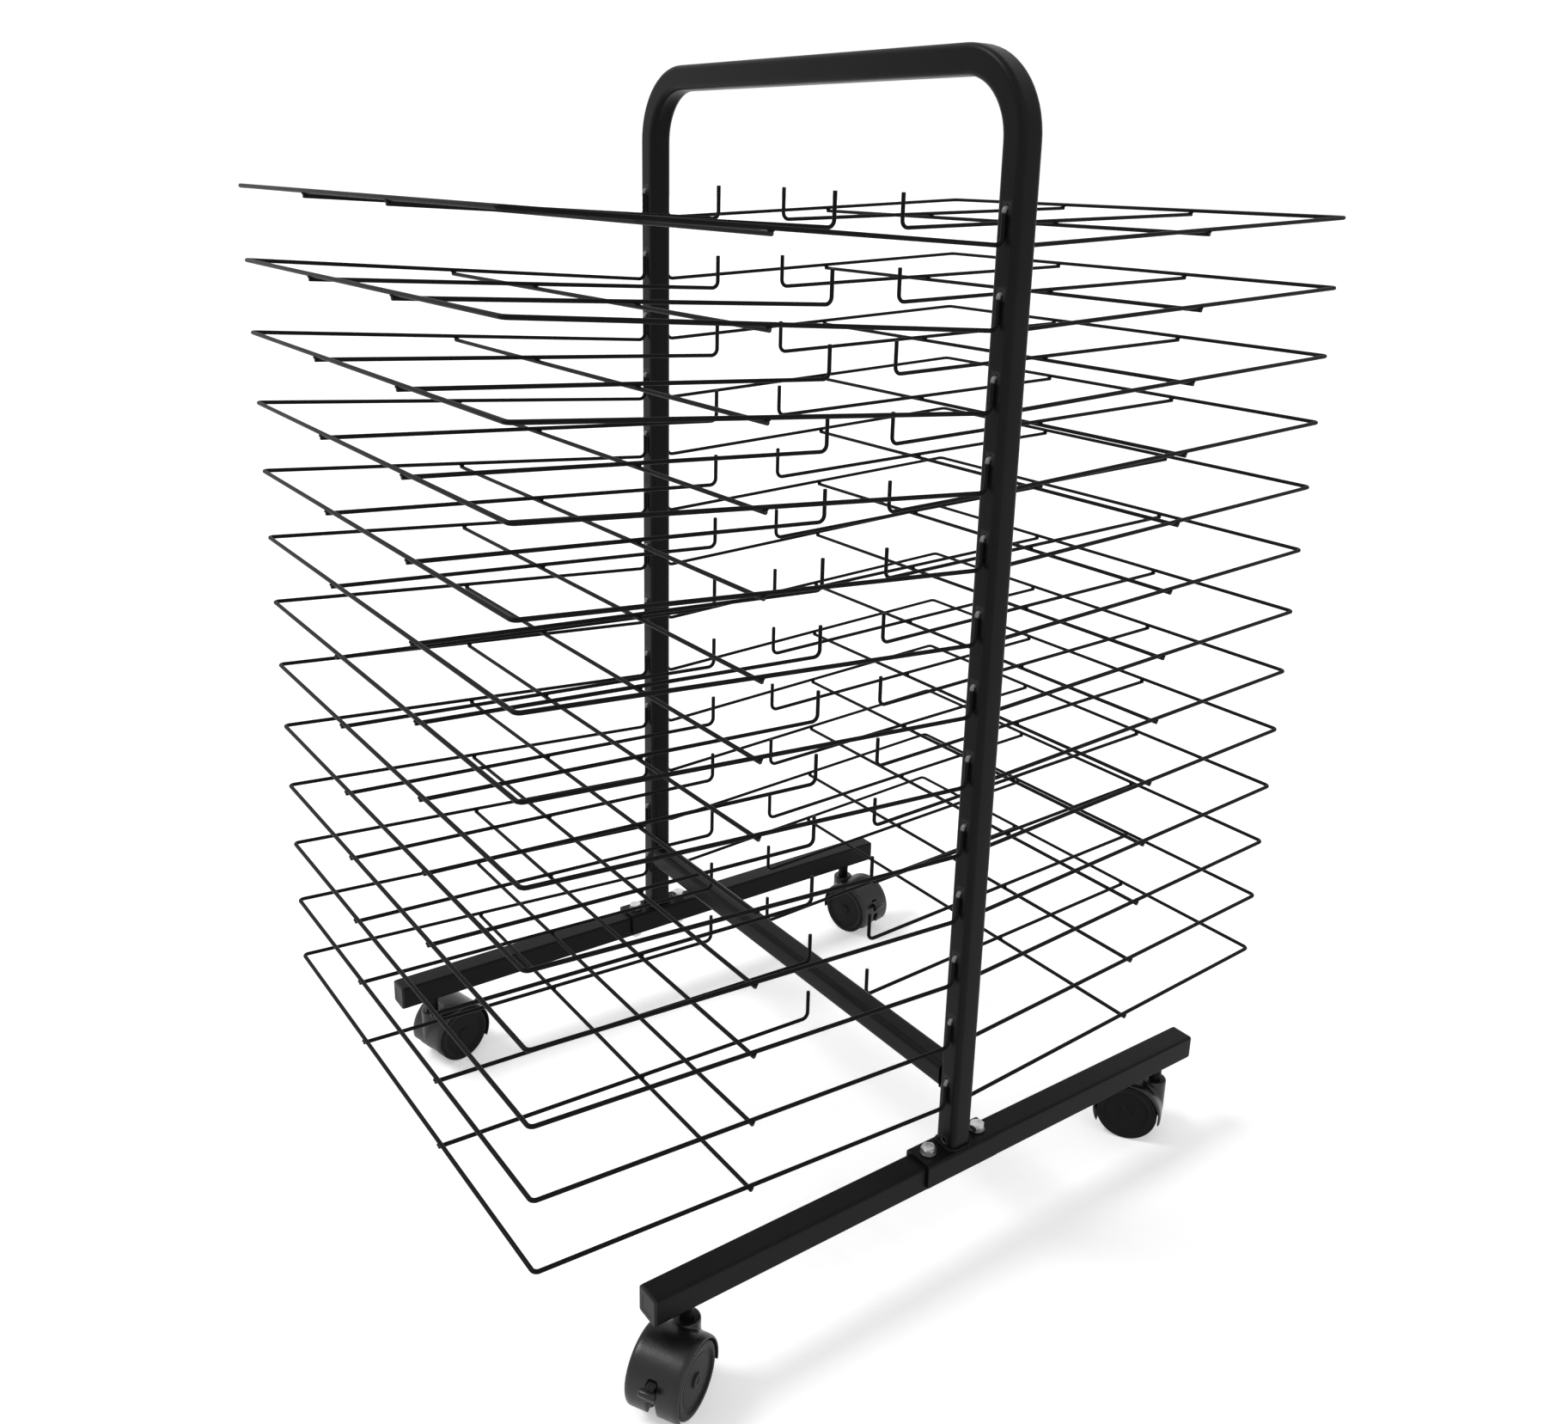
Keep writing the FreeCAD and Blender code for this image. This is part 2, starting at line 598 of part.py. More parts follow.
# -------------------------------------------------------------------- assembly
def all_parts():
    parts = {
        "u_frame": u_frame(),
        "crossbar": crossbar(),
        "saddle_left": saddle(-HALF_SPAN),
        "saddle_right": saddle(HALF_SPAN),
        "foot_left": foot(-HALF_SPAN),
        "foot_right": foot(HALF_SPAN),
        "foot_end_caps": foot_end_caps(),
        "saddle_bolts": saddle_bolts(),
        "saddle_washers": saddle_washers(),
        "saddle_nuts": saddle_nuts(),
        "caster_stems": caster_stems(),
        "stem_nuts": stem_nuts(),
    }
    for level in range(LEVEL_COUNT):
        shelf = wire_shelf(LOWEST_HOOK_HEIGHT + LEVEL_PITCH * level)
        number = "%02d" % (LEVEL_COUNT - level)
        parts["shelf_back_" + number] = shelf
        parts["shelf_front_" + number] = half_turn(shelf)
    caster = {
        "hood": caster_hood(),
        "axle": caster_axle(),
        "wheel_a": caster_wheel(-1),
        "wheel_b": caster_wheel(1),
        "brake": brake_lever(),
    }
    for name in CASTER_PLACES:
        for piece, shape in caster.items():
            parts["caster_%s_%s" % (name, piece)] = on_caster(shape, name)
    return parts


os.makedirs("parts", exist_ok=True)
for node, shape in all_parts().items():
    shape.exportStep("parts/%s.step" % node)
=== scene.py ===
"""Looks of a two-sided art drying rack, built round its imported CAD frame.

X runs from the left upright to the right one, the front shelves reach towards -Y and
the back ones towards +Y, and the floor is at zero.  Sizes are in millimetres, and
become metres as each mesh is made.
"""
import bpy
import bmesh
import math
from mathutils import Matrix, Vector


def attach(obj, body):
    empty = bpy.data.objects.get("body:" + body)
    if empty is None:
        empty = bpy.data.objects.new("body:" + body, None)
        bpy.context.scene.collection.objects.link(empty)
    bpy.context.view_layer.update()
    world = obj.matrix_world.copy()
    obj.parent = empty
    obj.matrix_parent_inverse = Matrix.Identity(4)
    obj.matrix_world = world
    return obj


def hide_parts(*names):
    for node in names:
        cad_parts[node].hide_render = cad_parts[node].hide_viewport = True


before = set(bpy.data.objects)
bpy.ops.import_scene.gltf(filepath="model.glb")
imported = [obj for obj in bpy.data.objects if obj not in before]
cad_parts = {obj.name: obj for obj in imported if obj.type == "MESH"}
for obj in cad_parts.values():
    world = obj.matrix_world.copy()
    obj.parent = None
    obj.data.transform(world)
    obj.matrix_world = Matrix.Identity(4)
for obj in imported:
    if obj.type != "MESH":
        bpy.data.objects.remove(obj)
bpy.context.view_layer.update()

# ------------------------------------------------------ camera
# A slightly wide lens, a metre off and just below the height of the rack's top. It
# looks down on the right upright and is turned by under two degrees.
MM = 0.001
CAMERA_PLACE = Vector((855.5, -627.0, 768.4)) * MM
CAMERA_AZIMUTH = math.radians(53.298)
CAMERA_RISE = math.radians(16.947)
CAMERA_ROLL = math.radians(1.751)
CAMERA_LENS = 32.491
CAMERA_SHIFT = (-0.01467, -0.06672)


def put(name, data):
    """A new object in the scene."""
    thing = bpy.data.objects.new(name, data)
    bpy.context.scene.collection.objects.link(thing)
    return thing


def outward(heading, rise):
    """Direction away from the rack, by its heading and its height angle."""
    return Vector((math.sin(heading) * math.cos(rise),
                   -math.cos(heading) * math.cos(rise), math.sin(rise)))


away = outward(CAMERA_AZIMUTH, CAMERA_RISE)
level = Vector((math.cos(CAMERA_AZIMUTH), math.sin(CAMERA_AZIMUTH), 0))
upward = away.cross(level)
side = level * math.cos(CAMERA_ROLL) + upward * math.sin(CAMERA_ROLL)
top = upward * math.cos(CAMERA_ROLL) - level * math.sin(CAMERA_ROLL)

camera = put("camera", bpy.data.cameras.new("camera"))
camera.matrix_world = Matrix.Translation(CAMERA_PLACE) @ Matrix(
    (side, top, away)).transposed().to_4x4()
camera.data.sensor_fit = "HORIZONTAL"
camera.data.sensor_width = 36.0
camera.data.lens = CAMERA_LENS
camera.data.shift_x, camera.data.shift_y = CAMERA_SHIFT
camera.data.clip_start, camera.data.clip_end = 0.01, 200.0
bpy.context.scene.camera = camera
bpy.context.scene.view_settings.view_transform = "Standard"


# -------------------------------------- studio floor and light
# A white sheet of board under the rack, a white room round it, and two broad lamps:
# one high at the camera's left and a weaker one at its right.
ROOM_LIGHT = 0.56
BOARD_LIFT = 0.34
BOARD_REACH = 40               # metres from the middle to each edge of the board
LAMPS = (                      # name, heading, height angle, strength, softness
    ("key_lamp", -35.0, 52.0, 1.35, 18.0),
    ("side_lamp", 80.0, 30.0, 0.30, 50.0),
)


class Knot:
    """A socket of a node tree. Sums and products of knots add Math nodes."""

    def __init__(self, tree, socket=None):
        self.tree = tree
        self.socket = socket

    def node(self, kind, settings, values, out=0):
        """Any node: its type, its settings, its sockets' values or links."""
        new = self.tree.nodes.new(kind)
        for name, value in settings.items():
            if name == "stops":
                ramp = new.color_ramp.elements
                while len(ramp) < len(value):
                    ramp.new(0.5)
                for stop, (place, shade) in zip(ramp, value):
                    stop.position = place
                    stop.color = (*shade, 1.0)
            else:
                setattr(new, name, value)
        for name, value in values.items():
            target = next(s for s in new.inputs if s.identifier == name)
            if isinstance(value, Knot):
                self.tree.links.new(value.socket, target)
            elif isinstance(value, list):
                for one in value:
                    self.tree.links.new(one.socket, target)
            else:
                target.default_value = value
        if isinstance(out, str):
            out = [s.identifier for s in new.outputs].index(out)
        return Knot(self.tree, new.outputs[out] if new.outputs else None)

    def noise(self, place, scale, detail, **more):
        """Noise over a place, by its scale, its detail and any further sockets."""
        return self.node("ShaderNodeTexNoise", {}, {
            "Vector": place, "Scale": scale, "Detail": detail, **more})

    def ramp(self, factor, *stops):
        """Colours along a factor, from (position, colour) stops."""
        return self.node("ShaderNodeValToRGB", {"stops": stops}, {"Fac": factor})

    def skin(self, depth, strength, height, values):
        """Principled shader as the surface, over a bump whose depth is in millimetres."""
        bump = self.node("ShaderNodeBump", {}, {
            "Strength": strength, "Distance": depth * MM, "Height": height})
        shader = self.node("ShaderNodeBsdfPrincipled", {}, {"Normal": bump, **values})
        self.node("ShaderNodeOutputMaterial", {}, {"Surface": shader})

    def blend(self, factor, one, two):
        """One colour turning into another along a factor."""
        return self.node("ShaderNodeMix", {"data_type": "RGBA"}, {
            "Factor_Float": factor, "A_Color": one, "B_Color": two}, "Result_Color")

    def vector(self, **parts):
        return self.node("ShaderNodeCombineXYZ", {}, parts)

    def rays(self, *kinds):
        """Whether a ray is of each kind."""
        return [self.node("ShaderNodeLightPath", {}, {}, kind) for kind in kinds]

    def maths(self, operation, left, right):
        return self.node("ShaderNodeMath", {"operation": operation},
                         {"Value": left, "Value_001": right})

    def __add__(self, other):
        return self.maths("ADD", self, other)

    def __sub__(self, other):
        return self.maths("SUBTRACT", self, other)

    def __rsub__(self, other):
        return self.maths("SUBTRACT", other, self)

    def __mul__(self, other):
        return self.maths("MULTIPLY", self, other)

    __radd__ = __add__


def new_finish(name):
    """An empty material, the start of its node tree and its Object coordinates."""
    finish = bpy.data.materials.new(name)
    finish.use_nodes = True
    finish.node_tree.nodes.clear()
    start = Knot(finish.node_tree)
    return finish, start, start.node("ShaderNodeTexCoord", {}, {}, "Object")


board, start, place = new_finish("white board")
tone = start.ramp(start.noise(place, 0.6, 2.0), (0.0, (0.985, 0.985, 0.985)),
                  (1.0, (1.0, 1.0, 1.0)))
paint = start.node("ShaderNodeBsdfDiffuse", {}, {"Color": tone})
seen, mirrored = start.rays("Is Camera Ray", "Is Glossy Ray")
lift = start.node("ShaderNodeEmission", {}, {"Strength": (seen + mirrored) * BOARD_LIFT})
whole = start.node("ShaderNodeAddShader", {}, {"Shader": paint, "Shader_001": lift})
start.node("ShaderNodeOutputMaterial", {}, {"Surface": whole})

corners = [(BOARD_REACH * a, BOARD_REACH * b, 0)
           for a, b in ((-1, -1), (1, -1), (1, 1), (-1, 1))]
sheet = bpy.data.meshes.new("floor")
sheet.from_pydata(corners, [], [(0, 1, 2, 3)])
sheet.materials.append(board)
floor = put("floor", sheet)

world = bpy.data.worlds.new("room")
world.use_nodes = True
world.node_tree.nodes.clear()
bpy.context.scene.world = world
start = Knot(world.node_tree)
seen, mirrored, through = start.rays("Is Camera Ray", "Is Glossy Ray",
                                     "Is Transmission Ray")
plain = start.maths("MINIMUM", seen + mirrored + through, 1.0)
strength = plain * (1.0 - ROOM_LIGHT) + ROOM_LIGHT
glow = start.node("ShaderNodeBackground", {}, {
    "Color": (1.0, 1.0, 1.0, 1.0), "Strength": strength})
start.node("ShaderNodeOutputWorld", {}, {"Surface": glow})

for name, heading, height, strength, softness in LAMPS:
    lamp = bpy.data.lights.new(name, "SUN")
    lamp.energy = strength
    lamp.angle = math.radians(softness)
    holder = put(name, lamp)
    holder.rotation_mode = "QUATERNION"
    holder.rotation_quaternion = outward(
        math.radians(heading), math.radians(height)).to_track_quat("Z", "Y")


# -------------------------------------------------- foot rails
# Two straight lengths of square steel tube, rounded along their edges, cut square
# and powder coated satin black.
HALF_SPAN = 215.0
SIDES = (("left", -HALF_SPAN), ("right", HALF_SPAN))
FOOT_HALF_LENGTH = 258.0
FOOT_SIDE = 20.0
FOOT_WALL = 1.5
FOOT_EDGE = 2.0
FOOT_MIDDLE = 76.0
CUT_EDGE = 0.25
NEAR = 1e-6                    # metres within which two places are one
INK = (0.0042, 0.0042, 0.0046)


def angles(first, last, steps):
    """Even steps from one angle to another, given in degrees, in radians."""
    return [math.radians(first + (last - first) * i / steps) for i in range(steps + 1)]


def square_ring(half, edge, steps=4):
    """Points round a square with rounded corners, in its own plane."""
    points = []
    heart = half - edge
    for turn, (a, b) in enumerate(((1, 1), (-1, 1), (-1, -1), (1, -1))):
        for angle in angles(90 * turn, 90 * turn + 90, steps):
            points.append((a * heart + edge * math.cos(angle),
                           b * heart + edge * math.sin(angle)))
    return points


def bevelled(half, bevel):
    """(Place, inset) of the four rings of a bar with bevelled ends."""
    return ((-half, bevel), (bevel - half, 0.0), (half - bevel, 0.0), (half, bevel))


def band(bm, one, two, way=1, left_out=None):
    """Faces between two closed rows of points, less those over edges left out."""
    for i in range(len(one)):
        j = (i + 1) % len(one)
        if not (left_out and left_out(one[i], one[j])):
            bm.faces.new((one[i], one[j], two[j], two[i])[::way])


def loft(rings, joined=False, capped=False):
    """Skin over rings of points, each closed on itself, in millimetres."""
    bm = bmesh.new()
    rows = [[bm.verts.new(Vector(point) * MM) for point in ring] for ring in rings]
    for one, two in zip(rows, rows[1:] + rows[:1] if joined else rows[1:]):
        band(bm, one, two)
    if capped:
        bm.faces.new(rows[0])
        bm.faces.new(rows[-1])
    return bm


def add_shape(bm, other):
    """Adds the shape of one mesh under way to another, and ends the first."""
    mesh = bpy.data.meshes.new("part")
    other.to_mesh(mesh)
    other.free()
    bm.from_mesh(mesh)
    bpy.data.meshes.remove(mesh)


def as_mesh(name, bm, sharp=35.0):
    """A mesh from mesh code, faces outward, smooth between its sharp edges."""
    bmesh.ops.remove_doubles(bm, verts=bm.verts, dist=NEAR)
    bmesh.ops.recalc_face_normals(bm, faces=bm.faces)
    mesh = bpy.data.meshes.new(name)
    bm.to_mesh(mesh)
    bm.free()
    for face in mesh.polygons:
        face.use_smooth = True
    mesh.set_sharp_from_angle(angle=math.radians(sharp))
    return mesh


def as_piece(name, bm, sharp=35.0):
    return put(name, as_mesh(name, bm, sharp))


def fitted(piece, finish, slot, body, *nodes, weigh=False):
    """Gives a piece its finish and its place in the rack."""
    piece.data.materials.clear()
    piece.data.materials.append(finish)
    if weigh:
        even = piece.modifiers.new("even normals", "WEIGHTED_NORMAL")
        even.keep_sharp = True
        even.weight = 80
    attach(piece, body)
    if nodes:
        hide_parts(*nodes)


def shades(colour, dark, pale):
    """A darker and a paler tone of a colour."""
    return tuple(c * dark for c in colour), tuple(c * pale for c in colour)


def coating(name, colour, roughness, peel_scale, peel_depth, gloss):
    """Baked powder: a pebbled skin, faintly clouded, turned pale metallic grey where it is
    worn and where a glint is painted at the shelf hooks and hook holes.
    """
    finish, start, place = new_finish(name)
    peel = start.noise(place, peel_scale, 2.0, Roughness=0.45)
    cloud = start.noise(place, 21.0, 4.0, Roughness=0.6)
    fleck = start.noise(place, peel_scale * 3.1, 1.0)
    # A per-point attribute turns the paint pale metallic grey: real wear at cut wire tips,
    # painted glints at the hooks and hook holes.
    rub = start.node("ShaderNodeAttribute", {"attribute_name": "rub"}, {}, "Fac")
    scuff_and_glint_amount = start.node("ShaderNodeClamp", {}, {"Value": rub + (fleck - 0.5) * 0.9 * rub})
    dark, pale = shades(colour, 0.72, 1.45)
    paint = start.ramp(cloud * 0.75 + fleck * 0.25, (0.30, dark), (0.72, pale))
    paint = start.blend(scuff_and_glint_amount, paint, (0.30, 0.30, 0.31, 1.0))
    rough = roughness + (cloud - 0.5) * 0.16 + (peel - 0.5) * 0.10
    start.skin(peel_depth, 0.55, peel + fleck * 0.25, {
        "Base Color": paint, "Roughness": rough, "Metallic": scuff_and_glint_amount * 0.8,
        "Specular IOR Level": gloss})
    return finish


powder = coating("satin black powder coat", INK, 0.38, 620.0, 0.08, 0.09)

for name, x in SIDES:
    rings = []
    outer, slim, wide, inner = [
        square_ring(FOOT_SIDE / 2 - depth, FOOT_EDGE - depth)
        for depth in (0.0, CUT_EDGE, FOOT_WALL - CUT_EDGE, FOOT_WALL)]
    end = FOOT_HALF_LENGTH
    for ring, y in ((slim, -end), (outer, CUT_EDGE - end), (outer, end - CUT_EDGE),
                    (slim, end), (wide, end), (inner, end - CUT_EDGE),
                    (inner, CUT_EDGE - end), (wide, -end)):
        rings.append([(x + a, y, FOOT_MIDDLE + b) for a, b in ring])
    rail = as_piece("foot_rail_" + name, loft(rings, joined=True))
    fitted(rail, powder, "black_steel", "frame", "foot_" + name, weigh=True)


# ----------------------------------------------- rail end caps
# Push-in plugs of black nylon with a flat flange, one in each end of a foot rail.
# Only the flange shows, with its moulded edge and a shallow dimple.
CAP_FLANGE = 2.0
CAP_EDGE = 0.7
CAP_CORNER = 1.9
CAP_INSET = 0.15
CAP_DIMPLE = 0.35
PLUG_DEPTH = 8.0
PLUG_INSET = 2.2
NYLON = (0.0085, 0.0085, 0.0090)


def moulded(name, colour, roughness, grain, gloss):
    """Moulded plastic with a spark-eroded grain and faint flow clouds."""
    finish, start, place = new_finish(name)
    pebble = start.node("ShaderNodeTexVoronoi", {"feature": "SMOOTH_F1"}, {
        "Vector": place, "Scale": grain, "Smoothness": 0.7})
    flow = start.noise(place, 34.0, 3.0, Distortion=0.8)
    dark, pale = shades(colour, 0.8, 1.3)
    paint = start.ramp(flow * 0.8 + pebble * 0.25, (0.35, dark), (0.70, pale))
    rough = roughness + (flow - 0.5) * 0.14 + (pebble - 0.4) * 0.12
    start.skin(0.06, 0.5, pebble, {
        "Base Color": paint, "Roughness": rough, "Specular IOR Level": gloss})
    return finish


nylon = moulded("black moulded nylon", NYLON, 0.5, 1500.0, 0.22)

bm = bmesh.new()
for x in (-HALF_SPAN, HALF_SPAN):
    for way in (-1, 1):
        rings = []
        for depth, shrink, edge in (
                (-PLUG_DEPTH, PLUG_INSET, 0.4), (-0.02, PLUG_INSET, 0.4),
                (0.0, 0.0, CAP_CORNER), (0.3, 0.0, CAP_CORNER),
                (CAP_FLANGE - CAP_EDGE, 0.0, CAP_CORNER), (CAP_FLANGE - 0.2, 0.25, 1.7),
                (CAP_FLANGE, CAP_EDGE, 1.3), (CAP_FLANGE, 3.6, 1.6),
                (CAP_FLANGE - CAP_DIMPLE, 4.4, 1.6)):
            y = way * (FOOT_HALF_LENGTH + depth)
            rings.append([(x + a, y, FOOT_MIDDLE + b) for a, b in square_ring(
                FOOT_SIDE / 2 - CAP_INSET - shrink, edge)])
        add_shape(bm, loft(rings, capped=True))
fitted(as_piece("rail_end_caps", bm), nylon, "black_plastic", "frame", "foot_end_caps",
       weigh=True)


# ----------------------------------------------------- saddles
# Short channels folded from sheet steel, which straddle the foot rails. Their folds
# are rounded outside, and they are coated with the frame.
SADDLE_TOP = 88.5
SADDLE_HALF_LENGTH = 34.0
SADDLE_PLATE = 2.5
SADDLE_INNER = 10.2
SADDLE_LOW = 70.0
SADDLE_EDGE = 2.5
SADDLE_CREASE = 0.15
SADDLE_BEVEL = 0.3

for name, x in SIDES:
    outer = [(SADDLE_INNER + SADDLE_PLATE, SADDLE_LOW)]
    inner = [(SADDLE_INNER, SADDLE_LOW)]
    for angle in angles(0, 90, 6):
        outer.append((SADDLE_INNER + SADDLE_PLATE - SADDLE_EDGE * (1 - math.cos(angle)),
                      SADDLE_TOP - SADDLE_EDGE * (1 - math.sin(angle))))
        inner.append((SADDLE_INNER - SADDLE_CREASE * (1 - math.cos(angle)),
                      SADDLE_TOP - SADDLE_PLATE - SADDLE_CREASE * (1 - math.sin(angle))))
    outer += [(-a, b) for a, b in outer[::-1]]
    inner += [(-a, b) for a, b in inner[::-1]]
    section = outer + inner[::-1]
    rings = []
    for y, shrink in bevelled(SADDLE_HALF_LENGTH, SADDLE_BEVEL):
        rings.append([])
        for i, (a, b) in enumerate(section):
            pull = shrink if i < len(outer) else -shrink
            if abs(a) > SADDLE_INNER - 0.2:
                a = math.copysign(abs(a) - pull, a)
            elif b > SADDLE_TOP - SADDLE_PLATE - 0.01:
                b -= pull
            rings[-1].append((x + a, y, b))
    bm = loft(rings)
    bm.verts.ensure_lookup_table()
    count = len(section)
    for row in (0, len(rings) - 1):
        for i in range(len(outer) - 1):
            bm.faces.new([bm.verts[row * count + k]
                          for k in (i, i + 1, count - 2 - i, count - 1 - i)])
    fitted(as_piece("saddle_plate_" + name, bm), powder, "black_steel", "frame",
           "saddle_" + name, weigh=True)


# --------------------------------- saddle bolts, washers, nuts
# M6 hexagon bolts go down through washer, saddle and foot into a nut below. They are
# bright zinc plate over rolled and tumbled steel.
BOLT_PLACES = [(x, y) for x in (-HALF_SPAN, HALF_SPAN) for y in (-24.0, 24.0)]
BOLT_FLATS = 10.0
BOLT_HEAD = 4.0
BOLT_DIMPLE = 0.3
CROWN = 0.46                   # radius of a hexagon's flat crown for a width of 1
WASHER_HOLE = 3.25
WASHER_RADIUS = 6.0
WASHER_HEIGHT = 1.6
NUT_HEIGHT = 5.0
NUT_MOUTH = 0.4
FOOT_UNDER = 66.0
THREAD_RADIUS = 3.0
THREAD_PITCH = 0.75
THREAD_TURNS = 5


def hexagon_rings(flats, height, cone_low, sides=48):
    """Rings of a hexagon with its corners turned off by a cone above, or at both ends."""
    lean = math.tan(math.radians(28))
    top, bottom = [], []
    for step in range(sides):
        angle = 2 * math.pi * step / sides
        reach = flats / 2 / math.cos((angle + math.pi / 6) % (math.pi / 3) - math.pi / 6)
        drop = max(0.0, reach - flats * CROWN) * lean
        corner = (reach * math.cos(angle), reach * math.sin(angle))
        top.append((*corner, height - drop))
        bottom.append((*corner, drop if cone_low else 0.12))
    return bottom, top


def circle(radius, height, sides=48):
    return [(radius * math.cos(2 * math.pi * i / sides),
             radius * math.sin(2 * math.pi * i / sides), height) for i in range(sides)]


def nut_shape(flats, height, bore, mouth):
    """Hexagon nut with both faces coned and a countersunk mouth on each side."""
    low, high = hexagon_rings(flats, height, True)
    return loft([circle(bore + 0.05, mouth), circle(bore + mouth, 0.0),
                 circle(flats * CROWN, 0.0), low, high, circle(flats * CROWN, height),
                 circle(bore + mouth, height), circle(bore + 0.05, height - mouth)],
                joined=True)


def zinc_plate(name, shine):
    """Plated steel: tumbled dents and a milky haze, brighter or duller by its shine."""
    finish, start, place = new_finish(name)
    dent = start.noise(place, 900.0, 3.0)
    haze = start.noise(place, 210.0, 4.0, Distortion=0.5)
    tint = start.ramp(haze, *((stop, tuple(c * shine for c in colour)) for stop, colour in (
        (0.30, (0.70, 0.72, 0.75)), (0.55, (0.90, 0.91, 0.92)), (0.75, (1.0, 0.99, 0.96)))))
    start.skin(0.05, 0.4, dent, {
        "Base Color": tint, "Metallic": 1.0,
        "Roughness": 0.24 + haze * 0.18 + (dent - 0.5) * 0.12})
    return finish


zinc = zinc_plate("bright zinc plate", 0.78)
dull_zinc = zinc_plate("dull zinc plate", 0.16)


def new_tree(name, sizes):
    """Geometry node tree with named inputs: (name, socket type, default)."""
    tree = bpy.data.node_groups.new(name, "GeometryNodeTree")
    tree.interface.new_socket("Start", in_out="INPUT", socket_type="NodeSocketGeometry")
    for label, kind, value in sizes:
        socket = tree.interface.new_socket(label, in_out="INPUT",
                                           socket_type="NodeSocket" + kind)
        if value is not None:
            socket.default_value = value
    tree.interface.new_socket("Made", in_out="OUTPUT", socket_type="NodeSocketGeometry")
    entry = tree.nodes.new("NodeGroupInput")
    given = {s.name: Knot(tree, s) for s in entry.outputs if s.name}
    return Knot(tree), given


def end_tree(made, finish):
    """Last nodes of every tree: real geometry with its finish on it."""
    made = made.node("GeometryNodeRealizeInstances", {}, {"Geometry": made})
    made = made.node("GeometryNodeSetMaterial", {}, {"Geometry": made, "Material": finish})
    made.tree.links.new(made.socket, made.tree.nodes.new("NodeGroupOutput").inputs[0])


def grown(name, seed, tree, sizes):
    """Plain mesh object that a node tree makes from a starting mesh."""
    starter = put(name + "_start", seed)
    modifier = starter.modifiers.new("grow", "NODES")
    modifier.node_group = tree
    for socket in tree.interface.items_tree:
        if socket.name in sizes:
            modifier[socket.identifier] = sizes[socket.name]
    graph = bpy.context.evaluated_depsgraph_get()
    mesh = bpy.data.meshes.new_from_object(starter.evaluated_get(graph))
    bpy.data.objects.remove(starter)
    mesh.set_sharp_from_angle(angle=math.radians(35.0))
    mesh.name = name
    return put(name, mesh)


def plan(name, points, edges=()):
    """Mesh of bare points and edges, for a node tree to start from."""
    mesh = bpy.data.meshes.new(name)
    mesh.from_pydata([Vector(point) * MM for point in points], edges, [])
    return mesh


def fasten(name, node, shape, points, height, plate, **more):
    """A fastener at each of its points, at one height."""
    pattern = as_piece(name + "_pattern", shape, 22.0)
    made = grown(name, points, fastener_tree, {
        "Fastener": pattern, "Finish": plate, "Height": height * MM, **more})
    bpy.data.objects.remove(pattern)
    fitted(made, plate, "zinc", "frame", node)


start, given = new_tree("fasteners at their places", [
    ("Fastener", "Object", None),
    ("Finish", "Material", None),
    ("Height", "Float", 0.0),
    ("Wander", "Float", math.pi / 6),
    ("Seed", "Int", 4),
])
one = start.node("GeometryNodeObjectInfo", {}, {"Object": given["Fastener"]}, "Geometry")
twist = start.node("FunctionNodeRandomValue", {"data_type": "FLOAT"}, {
    "Min_001": given["Wander"] * -1.0, "Max_001": given["Wander"], "Seed": given["Seed"]},
    "Value_001")
turn = start.vector(Z=twist)
raised = start.vector(Z=given["Height"])
moved = start.node("GeometryNodeTransform", {}, {
    "Geometry": given["Start"], "Translation": raised})
made = start.node("GeometryNodeInstanceOnPoints", {}, {
    "Points": moved, "Instance": one, "Rotation": turn})
end_tree(made, given["Finish"])
fastener_tree = start.tree
bolt_points = plan("bolt points", [(x, y, 0) for x, y in BOLT_PLACES])

# Bolt: dimpled head with its corners turned off, then the thread's end far below.
low, high = hexagon_rings(BOLT_FLATS, BOLT_HEAD, False)
crown = BOLT_FLATS * CROWN
bolt = loft([circle(THREAD_RADIUS, 0.0), [(a * 0.97, b * 0.97, 0.0) for a, b, c in low],
             low, high, circle(crown, BOLT_HEAD), circle(crown * 0.86, BOLT_HEAD - 0.02),
             circle(crown * 0.74, BOLT_HEAD + 0.02 - BOLT_DIMPLE),
             circle(crown * 0.3, BOLT_HEAD - BOLT_DIMPLE)], capped=True)
head_seat = SADDLE_TOP + WASHER_HEIGHT
tail = FOOT_UNDER - NUT_HEIGHT - head_seat - 2.0
rings = [circle(2.0, tail), circle(2.45, tail + 0.25)]
for count in range(THREAD_TURNS):
    root = tail + 0.7 + count * THREAD_PITCH
    rings += [circle(THREAD_RADIUS - 0.06, root), circle(THREAD_RADIUS - 0.45, root + 0.35)]
rings.append(circle(THREAD_RADIUS - 0.5, -1.0))
add_shape(bolt, loft(rings, capped=True))
nut = nut_shape(BOLT_FLATS, NUT_HEIGHT, THREAD_RADIUS, NUT_MOUTH)
washer = loft([circle(radius, height) for radius, height in (
    (WASHER_HOLE, 0.15), (WASHER_HOLE + 0.15, 0.0), (WASHER_RADIUS - 0.15, 0.0),
    (WASHER_RADIUS, 0.2), (WASHER_RADIUS, WASHER_HEIGHT - 0.3),
    (WASHER_RADIUS - 0.25, WASHER_HEIGHT - 0.05), (WASHER_RADIUS - 0.6, WASHER_HEIGHT),
    (WASHER_HOLE + 0.25, WASHER_HEIGHT), (WASHER_HOLE, WASHER_HEIGHT - 0.25))],
    joined=True)

for name, shape, height, plate in (
        ("bolts", bolt, head_seat, zinc), ("washers", washer, SADDLE_TOP, dull_zinc),
        ("nuts", nut, FOOT_UNDER - NUT_HEIGHT, zinc)):
    fasten(name, "saddle_" + name, shape, bolt_points, height, plate)


